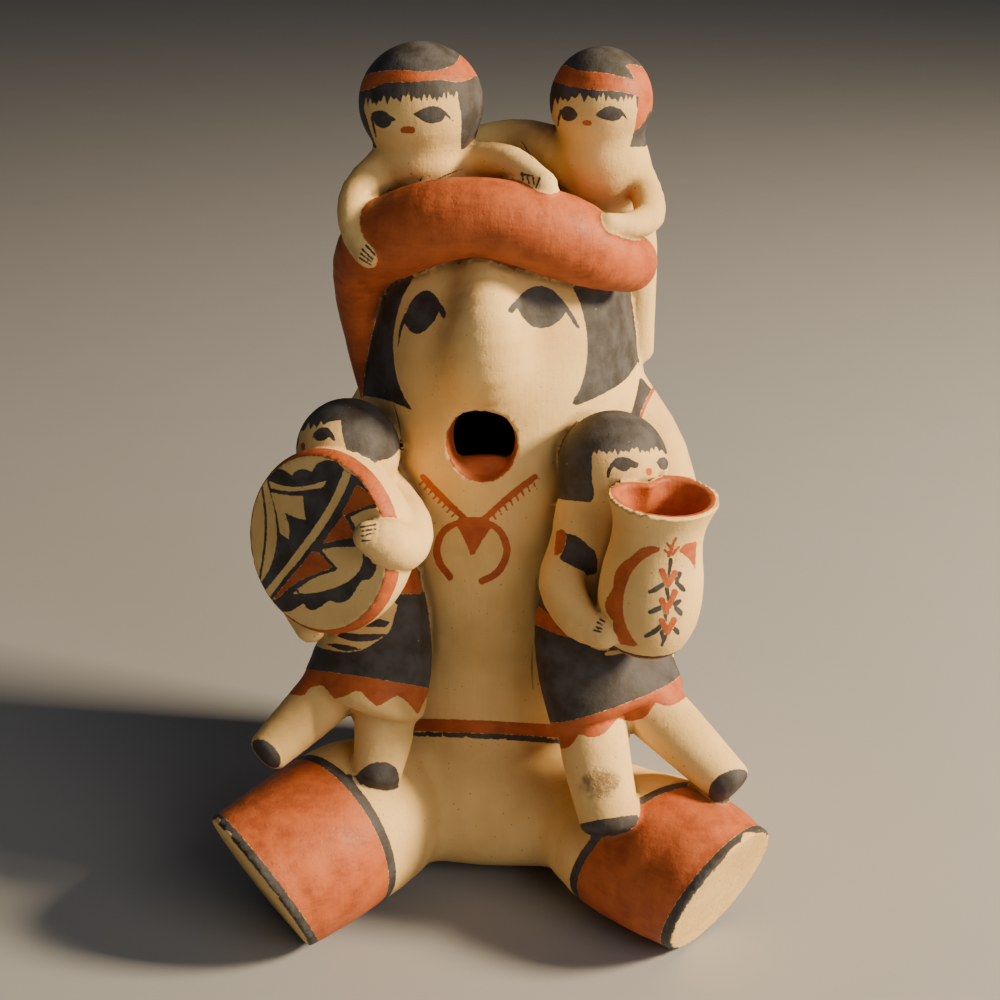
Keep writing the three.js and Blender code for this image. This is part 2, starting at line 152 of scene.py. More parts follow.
# The four children: which way each faces, the head's middle and half sizes, the trunk and the limbs
CHILDREN = {
    "drummer": {
        "facing": -54,
        "head": ([-38, -45, 140], [14.7, 14.7, 15]),
        "trunk": [
            [-37, -43, 132, 12.5, 11], [-34.5, -41, 122, 13.8, 11.5], [-34, -41, 106, 14, 12.5],
            [-32.4, -42, 90, 18, 14.5], [-32, -45, 77, 19.6, 16], [-34.6, -49, 66.5, 22.6, 17],
        ],
        "limbs": {
            "near_arm": [
                [-29, -41, 127, 7], [-20.5, -55, 122, 7.6], [-19, -72, 123, 7], [-21.5, -78.5, 127, 6.4],
                [-26, -81, 129.5, 4.2],
            ],
            "far_arm": [
                [-46, -38, 125, 6.5], [-53.5, -44, 112, 6], [-54.5, -50, 98, 5.4], [-48.5, -57, 89.5, 4.4],
            ],
            "far_leg": [[-42, -50, 69, 9.4], [-50.6, -59.5, 62, 8], [-59.4, -69.5, 55.6, 6.3]],
            "near_leg": [[-29, -50, 67, 9.5], [-27.6, -59, 57, 8.6], [-29, -65, 47, 7.2]],
        },
    },
    "bearer": {
        "facing": 48,
        "head": ([37, -44, 138.5], [15.4, 15, 15.2]),
        "trunk": [
            [34.8, -43, 131, 13.8, 11], [33.8, -42, 120, 15, 12], [34.5, -41, 106, 15.5, 14],
            [33, -42, 90, 20, 15], [35.8, -45, 77.3, 21.8, 16], [40, -50, 67.2, 22.4, 17],
        ],
        "limbs": {
            "near_arm": [
                [25.5, -49, 114.5, 6], [23.8, -57, 107, 6.4], [29.5, -65.5, 100.5, 5.7],
                [36.5, -71, 99, 4.2],
            ],
            "far_arm": [[46, -38, 118, 6.5], [54, -42, 109, 6.5], [57, -51, 103, 5.4], [56, -60, 99, 4.2]],
            "near_leg": [[33, -53, 66, 10.5], [34.8, -63, 57, 9.9], [39.4, -72, 41.5, 8.7]],
            "far_leg": [[47, -50, 69, 9.8], [58.5, -56, 60.6, 8.6], [72.8, -63, 49.6, 6.9]],
        },
    },
    "crown_left": {
        "facing": 0,
        "head": ([-19.2, -20, 233.5], [17.2, 16.5, 16.5]),
        "trunk": [
            [-19, -20, 227, 11.5, 11], [-19.5, -21, 220, 12.8, 11.5], [-19.5, -14, 216, 13, 11.5],
            [-18, 2, 211, 12.5, 10], [-17, 16, 204, 10, 8],
        ],
        "limbs": {
            "outer_arm": [
                [-26, -21, 217.5, 7], [-35.7, -29, 210.6, 4.7], [-36, -36, 203.4, 4.3],
                [-31.2, -42.5, 196.4, 3.5],
            ],
            "inner_arm": [
                [-11, -18, 216.8, 6.8], [-2, -21.5, 218.6, 5.1], [6.8, -28.5, 218.8, 4.7],
                [16.3, -38, 215.2, 3.7],
            ],
            "outer_leg": [
                [-23, 12, 204, 6.5], [-26, 30, 194, 5.6], [-24.5, 38.5, 174, 5], [-23.5, 41.5, 158, 4.8],
            ],
            "inner_leg": [
                [-12, 14, 204, 6.5], [-10, 33, 196, 5.6], [-8.5, 41.5, 176, 5], [-8, 43.5, 161, 4.8],
            ],
        },
    },
    "crown_right": {
        "facing": 0,
        "head": ([30, -14, 234], [14.2, 14, 14.6]),
        "trunk": [
            [30, -14, 227, 10.5, 10], [30.5, -13, 220, 12.6, 11.5], [31, -8, 214, 13, 12],
            [29, 4, 208, 11.5, 10], [28, 15, 202, 10, 8],
        ],
        "limbs": {
            "outer_arm": [
                [36, -11, 218, 6.2], [42.8, -16, 210.2, 4.5], [44.2, -24, 204.4, 4.4],
                [39.5, -31.5, 203.4, 3.5], [33.8, -36.5, 205, 2.7],
            ],
            "inner_arm": [[22, -11, 217, 7.5], [12, -6, 221, 5.8], [4, -3, 222, 4.8], [-5, -4, 221, 4.2]],
            "outer_leg": [[34, 10, 203, 7], [39.8, 5, 195, 6], [41.4, 6, 175, 5.3], [41.6, 8, 155.5, 5]],
            "inner_leg": [[22, 15, 203, 6.5], [19, 32, 195, 5.6], [17, 40.5, 176, 5], [16, 42.5, 160, 4.8]],
        },
    },
}

# The drum and the jar
DRUM_FACE_AT = np.array([-42.8, -69.5, 121.8])
DRUM_TURN = -28.0
DRUM_LIFT = 12.0
DRUM_REACH = 34.0
DRUM_OUTSIDE = [[1, 12], [0.85, 18.5], [0.5, 24], [0.22, 25.8], [0.08, 25.4], [0, 24.2]]
JAR_FOOT_AT = np.array([47.4, -62.0, 91.6])
JAR_LEAN_SIDE = 4.5
JAR_LEAN_FRONT = 3.0
JAR_OUTSIDE = [
    [0, 7], [1.5, 10], [7, 13], [14, 14.3], [23, 14], [30, 12.8], [36, 12.4], [41, 13.3], [45, 14.8],
    [47, 15.7],
]
JAR_MIDDLE = JAR_FOOT_AT + [3, -2, 28]
JAR_REACH = 42.0
JAR_BOX = (JAR_FOOT_AT - [24, 24, 6], JAR_FOOT_AT + [28, 24, 56])
LIP_START = 34.0
LIP_PRESS = 7.0
LIP_PRESS_AT = 122.0
LIP_PRESS_SPREAD = 36.0

# How softly forms join, in millimetres
SOFT_BODY = 4.0
SOFT_LIMB = 2.0
SOFT_TIGHT = 1.0
SOFT_NOSE = 8.0
EDGE_ROUND = 1.2
LUMP_MARGIN = 4.0


# Curves and distances


def direction(turn, lift=0.0):
    """The direction so many degrees round from the front, and lifted from the level."""
    turn, lift = np.radians([turn, lift])
    return np.array([np.sin(turn) * np.cos(lift), -np.cos(turn) * np.cos(lift), np.sin(lift)])


def sideways(turn):
    """The level direction at right angles to a facing one."""
    turn = np.radians(turn)
    return np.array([np.cos(turn), np.sin(turn), 0.0])


def inside_all(*depths):
    """How deep points lie inside all of several areas."""
    return reduce(np.minimum, depths)


def unit(vectors):
    """Vectors of the same directions, one long."""
    return vectors / np.maximum(np.linalg.norm(vectors, axis=-1, keepdims=True), 1e-9)


def curve(points, steps=STEPS):
    """Points along a centripetal Catmull-Rom curve through the given ones."""
    points = np.asarray(points, float)
    if len(points) < 3:
        return points
    ends = np.vstack([2 * points[0] - points[1], points, 2 * points[-1] - points[-2]])
    gaps = np.sqrt(np.linalg.norm(np.diff(ends, axis=0), axis=1))
    gaps[gaps < 1e-4] = 1.0
    share = np.linspace(0, 1, steps, endpoint=False)[:, None]
    rows = []
    for index in range(len(points) - 1):
        before, start, stop, after = ends[index:index + 4]
        first, middle, last = gaps[index:index + 3]
        lean_start = (start - before) / first - (stop - before) / (first + middle) + (stop - start) / middle
        lean_stop = (stop - start) / middle - (after - start) / (middle + last) + (after - stop) / last
        lean_start, lean_stop = lean_start * middle, lean_stop * middle
        rows.append(
            start + lean_start * share
            + (-3 * start + 3 * stop - 2 * lean_start - lean_stop) * share ** 2
            + (2 * start - 2 * stop + lean_start + lean_stop) * share ** 3
        )
    return np.vstack([*rows, points[-1:]])


def soft_min(first, second, reach):
    """The smaller of two distances, with a rounded change-over."""
    share = np.clip(0.5 + 0.5 * (second - first) / reach, 0, 1)
    return second + (first - second) * share - reach * share * (1 - share)


def soft_max(first, second, reach):
    """The larger of two distances, with a rounded change-over."""
    return -soft_min(-first, -second, reach)


class Section:
    """Signed distance to an outline turned round an axis, looked up in a table of radius and height."""

    STEP = 0.5
    MARGIN = 12.0

    def __init__(self, outline):
        outline = np.asarray(outline, float)
        self.low = outline[:, 1].min() - self.MARGIN
        radii = np.arange(0, outline[:, 0].max() + self.MARGIN, self.STEP)
        heights = np.arange(self.low, outline[:, 1].max() + self.MARGIN, self.STEP)
        spots = np.stack(np.meshgrid(radii, heights, indexing="ij"), -1).reshape(-1, 2)
        signed = -flat_distance(spots, outline)
        self.table = signed.reshape(len(radii), len(heights))

    def __call__(self, radius, height):
        across = np.clip(radius / self.STEP, 0, self.table.shape[0] - 1.001)
        along = np.clip((height - self.low) / self.STEP, 0, self.table.shape[1] - 1.001)
        i, j = across.astype(int), along.astype(int)
        u, v = across - i, along - j
        near = self.table[i, j] * (1 - v) + self.table[i, j + 1] * v
        far = self.table[i + 1, j] * (1 - v) + self.table[i + 1, j + 1] * v
        return near * (1 - u) + far * u


def flat_distance(spots, outline, closed_by_axis=True):
    """Distance in the plane to an outline, positive inside; the stretch along the axis isn't an edge."""
    nearest = np.full(len(spots), np.inf)
    inside = np.zeros(len(spots), bool)
    x, y = spots[:, 0], spots[:, 1]
    stops = outline[1:] if closed_by_axis else np.roll(outline, -1, axis=0)
    for (ax, ay), (bx, by) in zip(outline, stops):
        dx, dy = bx - ax, by - ay
        share = np.clip(((x - ax) * dx + (y - ay) * dy) / max(dx * dx + dy * dy, 1e-12), 0, 1)
        nearest = np.minimum(nearest, (x - ax - share * dx) ** 2 + (y - ay - share * dy) ** 2)
        if ay != by:
            crosses = ((ay > y) != (by > y)) & (x < ax + (y - ay) * dx / dy)
            inside ^= crosses
    return np.where(inside, 1, -1) * np.sqrt(nearest)


@dataclass
class Lump:
    """One form of the clay: its name, the box round it, how softly it joins and its signed distance."""

    name: str
    low: np.ndarray
    high: np.ndarray
    soft: float
    distance: Callable


def chain(name, path, soft=SOFT_LIMB, side=(1.0, 0.0, 0.0), dome=None):
    """A rounded form along a path; a dome share draws its ends flat."""
    middles = curve([row[:3] for row in path], LIMB_STEPS)
    sizes = curve([[row[3], row[-1], 0.0] for row in path], LIMB_STEPS)[:, :2]
    side = np.asarray(side, float)
    starts, along = middles[:-1], np.diff(middles, axis=0)
    grown = np.diff(sizes, axis=0)
    length = (along ** 2).sum(1)
    is_round = np.allclose(sizes[:, 0], sizes[:, 1])

    def distance(points):
        ahead = points @ along.T - (starts * along).sum(1)
        share = np.clip(ahead / length, 0, 1)
        square = (points ** 2).sum(1)[:, None] - 2 * points @ starts.T + (starts ** 2).sum(1)
        square = np.maximum(square - 2 * share * ahead + share ** 2 * length, 1e-9)
        deep = sizes[:-1, 1] + share * grown[:, 1]
        reach = np.sqrt(square)
        if is_round:
            nearest = (reach - deep).min(axis=1)
        else:
            sideways_part = (points @ side)[:, None] - starts @ side - share * (along @ side)
            thin = deep / (sizes[:-1, 0] + share * grown[:, 0])
            pressed = np.sqrt(np.maximum(square - sideways_part ** 2 * (1 - thin ** 2), 1e-9))
            nearest = (reach * (1 - deep / pressed)).min(axis=1)
        if dome is not None:
            for end, inner in ((0, 1), (-1, -2)):
                past = (points - middles[end]) @ unit(middles[end] - middles[inner])
                nearest = soft_max(nearest, past - dome * sizes[end, 1], 3 * EDGE_ROUND)
        return nearest

    margin = sizes.max() + soft + LUMP_MARGIN
    return Lump(name, middles.min(0) - margin, middles.max(0) + margin, soft, distance)


def ball(name, at, sizes, soft=SOFT_LIMB):
    """An ellipsoid."""
    at, sizes = np.array(at, float), np.array(sizes, float)

    def distance(points):
        share = (points - at) / sizes
        reach = np.linalg.norm(share, axis=1)
        slope = np.linalg.norm(share / sizes, axis=1)
        return reach * (reach - 1) / np.maximum(slope, 1e-9)

    margin = sizes.max() + soft + LUMP_MARGIN
    return Lump(name, at - margin, at + margin, soft, distance)


def body_distance(wall):
    """The singer's body, or the hollow inside it."""
    kept = BODY_LEVELS[(BODY_LEVELS[:, 0] >= wall) & (BODY_LEVELS[:, 0] <= BODY_TOP - wall - CROWN_RISE)]
    levels = curve(kept, BODY_STEPS)
    radii, heights = levels[:, 2] - wall, levels[:, 0]
    outline = np.vstack([[0, heights[0]], np.column_stack([radii, heights]), [0, BODY_TOP - wall]])
    section = Section(outline)
    stretch = (levels[:, 3] - wall) / radii

    def distance(points):
        middle = np.interp(points[:, 2], heights, levels[:, 1])
        deep = np.interp(points[:, 2], heights, stretch)
        radius = np.hypot(points[:, 0], (points[:, 1] - middle) / deep)
        return section(radius, points[:, 2])

    return distance


def upright(points, axis, at):
    """Points in the frame of a thing that stands along an axis, turned there the shortest way."""
    pivot = np.cross(WORLD_UP, axis)
    cosine = axis @ WORLD_UP
    cross = np.array([[0, -pivot[2], pivot[1]], [pivot[2], 0, -pivot[0]], [-pivot[1], pivot[0], 0]])
    turn = np.eye(3) + cross + cross @ cross / (1 + cosine)
    return (points - at) @ turn


DRUM_AXIS = direction(DRUM_TURN, DRUM_LIFT)
JAR_AXIS = unit(np.array([np.tan(np.radians(JAR_LEAN_SIDE)), -np.tan(np.radians(JAR_LEAN_FRONT)), 1.0]))


def drum_place(points):
    """Radius and height of points on the drum, its face at zero."""
    local = upright(points, DRUM_AXIS, DRUM_FACE_AT)
    return np.hypot(local[:, 0], local[:, 1]), local[:, 2]


def drum_lump():
    """The drum with its low domed face."""
    side = curve([[radius, -share * DRUM_DEPTH] for share, radius in DRUM_OUTSIDE])
    section = Section(np.vstack([[0, -DRUM_DEPTH], side, [0, DRUM_RISE]]))
    low, high = DRUM_FACE_AT - DRUM_REACH, DRUM_FACE_AT + DRUM_REACH
    return Lump("drum", low, high, SOFT_TIGHT, lambda points: section(*drum_place(points)))


def jar_place(points):
    """Radius, height and turn of points on the jar, with the pressed lip undone."""
    local = upright(points, JAR_AXIS, JAR_FOOT_AT)
    rise = np.clip((local[:, 2] - LIP_START) / (JAR_OUTSIDE[-1][0] - LIP_START), 0, 1)
    turn = np.degrees(np.arctan2(local[:, 1], local[:, 0]))
    away = (turn - LIP_PRESS_AT + 180) % 360 - 180
    press = LIP_PRESS * rise * np.exp(-((away / LIP_PRESS_SPREAD) ** 2))
    return np.hypot(local[:, 0], local[:, 1]) + press, local[:, 2], turn


def jar_section(inside):
    """The jar's outline, or that of the hollow inside it."""
    rows = [[z, radius] for z, radius in JAR_OUTSIDE if not inside or z >= JAR_FLOOR]
    lip, lip_radius = rows[-1]
    wall = JAR_WALL if inside else 0.0
    side = curve([[radius - wall, z] for z, radius in rows])
    if inside:
        return Section(np.vstack([[0, JAR_FLOOR], side, [lip_radius - wall, lip + 12], [0, lip + 12]]))
    return Section(np.vstack([[0, 0], side, [0, lip]]))


def jar_lump():
    """The jar without its hollow."""
    section = jar_section(inside=False)
    return Lump("jar", *JAR_BOX, SOFT_TIGHT, lambda points: section(*jar_place(points)[:2]))


def leg_lump(name, path, sole):
    """A leg cut off flat at its sole."""
    whole = chain(name, path, SOFT_BODY, side=(0.0, 0.0, 1.0))
    outward = direction(sole["turn"], -sole["tilt"])

    def distance(points):
        return soft_max(whole.distance(points), (points - sole["at"]) @ outward, EDGE_ROUND)

    return Lump(name, whole.low, whole.high, SOFT_BODY, distance)


def child_lumps(name, child):
    """A child's trunk, limbs and head."""
    side = sideways(child["facing"])
    lumps = [chain(f"{name}.trunk", child["trunk"], SOFT_LIMB, side, TRUNK_DOME)]
    for limb, path in child["limbs"].items():
        lumps.append(chain(f"{name}.{limb}", path, dome=FOOT_DOME if "leg" in limb else None))
    return [*lumps, ball(f"{name}.head", *child["head"])]


def clay_lumps():
    """Every form of the clay, in the order that they join."""
    lumps = [
        Lump("body", -BODY_BOX, BODY_BOX, SOFT_BODY, body_distance(0.0)),
        chain("nose", NOSE, SOFT_NOSE),
        chain("lap", LAP, 2 * SOFT_BODY, side=(0.0, 0.0, 1.0)),
        leg_lump("left_leg", LEFT_LEG, LEFT_SOLE),
        leg_lump("right_leg", RIGHT_LEG, RIGHT_SOLE),
        chain("left_arm", LEFT_ARM, SOFT_BODY),
        chain("right_arm", RIGHT_ARM, SOFT_BODY),
        chain("roll", HEAD_ROLL, SOFT_TIGHT),
    ]
    for name, child in CHILDREN.items():
        lumps += child_lumps(name, child)
    return [*lumps, drum_lump(), jar_lump()]


LUMPS = clay_lumps()
NAMES = [lump.name for lump in LUMPS]
BODY_HOLLOW = body_distance(BODY_WALL)
JAR_HOLLOW = jar_section(inside=True)
MOUTH = ball("mouth", MOUTH_AT, [MOUTH_WIDTH / 2, 2 * BODY_WALL, MOUTH_TALL / 2])
INNER_LIP = ball("inner_lip", INNER_LIP_AT, INNER_LIP_SIZES)
POOL = ThreadPoolExecutor(THREADS)


def in_blocks(work, points):
    """Does the same work on blocks of points side by side, and joins what comes back along the last axis."""
    blocks = np.array_split(points, len(points) // BLOCK + 1)
    return np.concatenate(list(POOL.map(work, blocks)), axis=-1)


def lump_distances(points):
    """The signed distance from every point to every form that is near it."""
    rows = np.full((len(LUMPS), len(points)), FAR)
    for row, lump in zip(rows, LUMPS):
        near = np.all((points > lump.low) & (points < lump.high), axis=1)
        if near.any():
            row[near] = lump.distance(points[near])
    return rows


def hollow_distance(points):
    """The signed distance to the hollow of the body, opened by the mouth."""
    return soft_min(BODY_HOLLOW(points), MOUTH.distance(points), EDGE_ROUND)


def jar_hollow_distance(points):
    """The signed distance to the inside of the jar."""
    near = np.linalg.norm(points - JAR_MIDDLE, axis=1) < JAR_REACH
    values = np.full(len(points), FAR)
    values[near] = JAR_HOLLOW(*jar_place(points[near])[:2])
    return values


def block_distance(points):
    """The signed distance to the fired clay for one block of points."""
    rows = lump_distances(points)
    whole = rows[0]
    for row, lump in zip(rows[1:], LUMPS[1:]):
        near = row < FAR
        whole[near] = soft_min(whole[near], row[near], lump.soft)
    whole = soft_max(whole, -hollow_distance(points), EDGE_ROUND)
    whole = soft_min(whole, INNER_LIP.distance(points), SOFT_LIMB)
    whole = soft_max(whole, -jar_hollow_distance(points), EDGE_ROUND)
    return soft_max(whole, -points[:, 2], EDGE_ROUND / 2)


def clay_distance(points):
    """The signed distance to the fired clay, negative inside it."""
    return in_blocks(block_distance, points)


def slope(points, values):
    """The direction in which the clay's distance grows, from its values at the points."""
    parts = [clay_distance(points + SLOPE_STEP * axis) - values for axis in np.eye(3)]
    return np.stack(parts, 1) / SLOPE_STEP


def settle(points, rounds):
    """Moves points onto the surface, and gives the slope last found at each."""
    for _ in range(rounds):
        values = clay_distance(points)
        lean = slope(points, values)
        push = values / np.maximum((lean ** 2).sum(1), 0.05)
        shift = push[:, None] * lean
        size = np.linalg.norm(shift, axis=1, keepdims=True)
        points = points - shift * np.minimum(1, SETTLE_MOST / np.maximum(size, 1e-9))
    return points, lean


# The skin


def grid_axis(low, fine_low, fine_high, high):
    """Grid places along an axis, closer together in the middle stretch."""
    stretches = [(low, fine_low, GRID), (fine_low, fine_high, FINE_GRID), (fine_high, high, GRID)]
    return np.concatenate([np.arange(start, stop - 0.4 * step, step) for start, stop, step in stretches])


def grid_surface():
    """Points and triangles of the zero level, by surface nets on an uneven grid."""
    axes = [grid_axis(*ends) for ends in zip(GRID_LOW, FINE_LOW, FINE_HIGH, GRID_HIGH)]
    shape = tuple(len(axis) for axis in axes)
    spots = np.stack(np.meshgrid(*axes, indexing="ij"), -1).reshape(-1, 3)
    values = clay_distance(spots).reshape(shape)
    total = np.zeros((*[n - 1 for n in shape], 3))
    count = np.zeros([n - 1 for n in shape])
    corners = [(i, j, k) for i in (0, 1) for j in (0, 1) for k in (0, 1)]

    def at(corner):
        return values[tuple(slice(c, n - 1 + c) for c, n in zip(corner, shape))]

    for first in corners:
        for axis in range(3):
            if first[axis]:
                continue
            second = tuple(c + (a == axis) for a, c in enumerate(first))
            one, two = at(first), at(second)
            cut = (one < 0) != (two < 0)
            share = np.where(cut, one / np.where(cut, one - two, 1), 0)
            for a in range(3):
                total[..., a] += cut * (first[a] + (share if a == axis else 0))
            count += cut
    used = count > 0
    number = np.full(count.shape, -1)
    number[used] = np.arange(used.sum())
    cells = np.argwhere(used)
    places = cells + total[used] / count[used][:, None]
    points = np.column_stack([np.interp(places[:, a], np.arange(len(axes[a])), axes[a]) for a in range(3)])
    return points, net_triangles(values, number, points)


def net_triangles(values, number, points):
    """Two triangles for each grid edge that the surface crosses."""
    quads = []
    for axis in range(3):
        others = [a for a in range(3) if a != axis]
        here = [slice(1, -1)] * 3
        ahead = [slice(1, -1)] * 3
        here[axis] = slice(0, -1)
        ahead[axis] = slice(1, None)
        one, two = values[tuple(here)], values[tuple(ahead)]
        crossing = np.argwhere((one < 0) != (two < 0))
        rising = one[tuple(crossing.T)] < 0
        base = crossing + [0 if a == axis else 1 for a in range(3)]
        ring = []
        for u, v in ((0, 0), (1, 0), (1, 1), (0, 1)):
            cell = base.copy()
            cell[:, others[0]] -= u
            cell[:, others[1]] -= v
            ring.append(number[tuple(cell.T)])
        quad = np.stack(ring, 1)
        flip = rising if axis == 1 else ~rising
        quad[flip] = quad[flip][:, ::-1]
        quads.append(quad)
    quads = np.vstack(quads)
    one = np.linalg.norm(points[quads[:, 0]] - points[quads[:, 2]], axis=1)
    two = np.linalg.norm(points[quads[:, 1]] - points[quads[:, 3]], axis=1)
    along_one, along_two = quads[:, [[0, 1, 2], [0, 2, 3]]], quads[:, [[0, 1, 3], [1, 2, 3]]]
    return np.where((one <= two)[:, None, None], along_one, along_two).reshape(-1, 3)


def in_hollow(points):
    """Whether points lie on the wall of the body's hollow, well behind the mouth."""
    return (np.abs(BODY_HOLLOW(points)) < HOLLOW_NEAR) & (MOUTH.distance(points) > MOUTH_CLEAR)


def coarsen_hollow(points, triangles):
    """Gathers the points of the body's hollow, which nobody sees closely, into few."""
    inside = np.flatnonzero(in_hollow(points))
    cells = np.floor(points[inside] / HOLLOW_GRID).astype(int)
    _, group = np.unique(cells, axis=0, return_inverse=True)
    group = group.ravel()
    count = np.bincount(group)
    middles = np.column_stack([np.bincount(group, points[inside, axis]) / count for axis in range(3)])
    number = np.arange(len(points))
    number[inside] = len(points) + group
    points = np.vstack([points, middles])
    triangles = number[triangles]
    a, b, c = triangles.T
    triangles = triangles[(a != b) & (b != c) & (c != a)]
    used, back = np.unique(triangles, return_inverse=True)
    return points[used], back.reshape(-1, 3)


def edges_of(triangles):
    """Each edge once, and for each triangle the numbers of its three edges."""
    pairs = np.sort(triangles[:, [[0, 1], [1, 2], [2, 0]]].reshape(-1, 2), axis=1)
    keys, back = np.unique(pairs[:, 0].astype(np.int64) * 2 ** 32 + pairs[:, 1], return_inverse=True)
    return np.column_stack([keys >> 32, keys & 0xFFFFFFFF]), back.reshape(-1, 3)


def split_edges(points, triangles, edges, sides, chosen):
    """Splits the chosen edges at their middles, and the triangles beside them to match."""
    middle = np.full(len(edges), -1)
    middle[chosen] = len(points) + np.arange(chosen.sum())
    fresh = points[edges[chosen]].mean(axis=1)
    cut = chosen[sides]
    number = cut.sum(axis=1)
    kept = [triangles[number == 0]]
    for turn in range(3):
        order = [(turn + k) % 3 for k in range(3)]
        corner = triangles[:, order]
        mid = middle[sides[:, order]]
        lone = (number == 1) & cut[:, order[0]]
        a, b, c = corner[lone].T
        ab = mid[lone, 0]
        kept += [np.column_stack([a, ab, c]), np.column_stack([ab, b, c])]
        pair = (number == 2) & ~cut[:, order[2]]
        a, b, c = corner[pair].T
        ab, bc = mid[pair, 0], mid[pair, 1]
        kept += [np.column_stack([ab, b, bc]), np.column_stack([a, ab, bc]), np.column_stack([a, bc, c])]
    full = number == 3
    a, b, c = triangles[full].T
    ab, bc, ca = middle[sides[full]].T
    kept += [np.column_stack(t) for t in ((a, ab, ca), (ab, b, bc), (ca, bc, c), (ab, bc, ca))]
    return fresh, np.vstack(kept)


def refine(points, triangles, paint):
    """Settles the points, and splits triangles until those at the borders of the painting are small."""
    points, lean = settle(points, 3)
    painted = paint(points, lean)
    for _ in range(SPLIT_ROUNDS):
        edges, sides = edges_of(triangles)
        length = np.linalg.norm(points[edges[:, 0]] - points[edges[:, 1]], axis=1)
        border = painted["border"][edges].min(axis=1)
        fine = painted["fine"][edges].min(axis=1)
        allowed = np.minimum(
            np.maximum(BORDER_EDGE, BORDER_SHARE * border),
            np.maximum(FINE_EDGE, BORDER_SHARE * fine),
        )
        hidden = (lean @ BACK)[edges].max(axis=1) < 0
        chosen = length > SPLIT_PAST * allowed * np.where(hidden, HIDDEN_TIMES, 1)
        if not chosen.any():
            break
        fresh, triangles = split_edges(points, triangles, edges, sides, chosen)
        fresh, fresh_lean = settle(fresh, 1)
        added = paint(fresh, fresh_lean)
        points, lean = np.vstack([points, fresh]), np.vstack([lean, fresh_lean])
        painted = {name: np.concatenate([painted[name], added[name]]) for name in painted}
    painted["normals"] = unit(lean)
    # How enclosed each point is, kept for the painted shade in crevices and between parts
    painted["shelter"] = shelter(points, painted["normals"])
    return points, triangles, painted


# Places in the photograph


RIGHT = sideways(AZIMUTH)
BACK = direction(AZIMUTH, ELEVATION)
UP = np.cross(BACK, RIGHT)
EYE = TARGET + DISTANCE * BACK
HALF_FRAME = FRAME_PIXELS / 2


def picture(points):
    """Where points lie in the photograph, and the millimetres that a pixel spans there."""
    local = points - TARGET
    depth = DISTANCE - local @ BACK
    across = HALF_FRAME + FOCAL * (local @ RIGHT) / depth
    down = HALF_FRAME - FOCAL * (local @ UP) / depth
    return np.column_stack([across, down]), depth / FOCAL


@cache
def seen(spots):
    """The points of the clay that lie at places in the photograph."""
    across, down = (np.array(spots, float) - HALF_FRAME).T[:, :, None] / FOCAL
    rays = unit(across * RIGHT - down * UP - BACK)
    reach = np.full(len(spots), DISTANCE - CLEAR_OF_FIGURE)
    for _ in range(RAY_ROUNDS):
        reach = reach + RAY_SHARE * clay_distance(EYE + reach[:, None] * rays)
    return EYE + reach[:, None] * rays


def plane(spots, toward):
    """A plane through three places in the photograph, its distance growing towards a direction."""
    a, b, c = seen(spots)
    normal = unit(np.cross(b - a, c - a))
    if normal @ toward < 0:
        normal = -normal
    return lambda points: (points - a) @ normal


def outline(*parts):
    """A closed outline: a list is a smooth run on from the point before it, a lone point ends a straight."""
    traced = []
    for part in parts:
        run = [part] if isinstance(part, tuple) else part
        traced.extend(curve([*traced[-1:], *run]))
    return np.array(traced)


def ribbon(top, bottom):
    """The outline between two smooth lines that run the same way."""
    return np.vstack([curve(top), curve(bottom)[::-1]])


def fringe(low, tall, strands):
    """Strands of hair that hang down to a line, with gaps of uneven height between them."""
    low = curve(low, FRINGE_STEPS)
    places = np.arange(len(low))
    share = np.linspace(0, len(low) - 1, 2 * strands + 1)
    across, down = (np.interp(share, places, column) for column in low.T)
    turn = np.arange(2 * strands + 1)
    gap, tip = (middle + change * np.sin(pace * turn) for middle, change, pace in (FRINGE_GAP, FRINGE_TIP))
    return np.column_stack([across, down - tall * np.where(turn % 2, gap, tip)])


def stroke_distance(spots, path, widths):
    """Distance to a brush stroke with a width at each of its points, positive inside it."""
    path = curve(path)
    widths = np.interp(np.linspace(0, 1, len(path)), np.linspace(0, 1, len(widths)), widths)
    best = np.full(len(spots), -np.inf)
    for (start, stop), (one, two) in zip(zip(path, path[1:]), zip(widths, widths[1:])):
        along = stop - start
        share = np.clip((spots - start) @ along / max(along @ along, 1e-9), 0, 1)
        away = np.linalg.norm(spots - start - share[:, None] * along, axis=1)
        best = np.maximum(best, (one + share * (two - one)) / 2 - away)
    return best


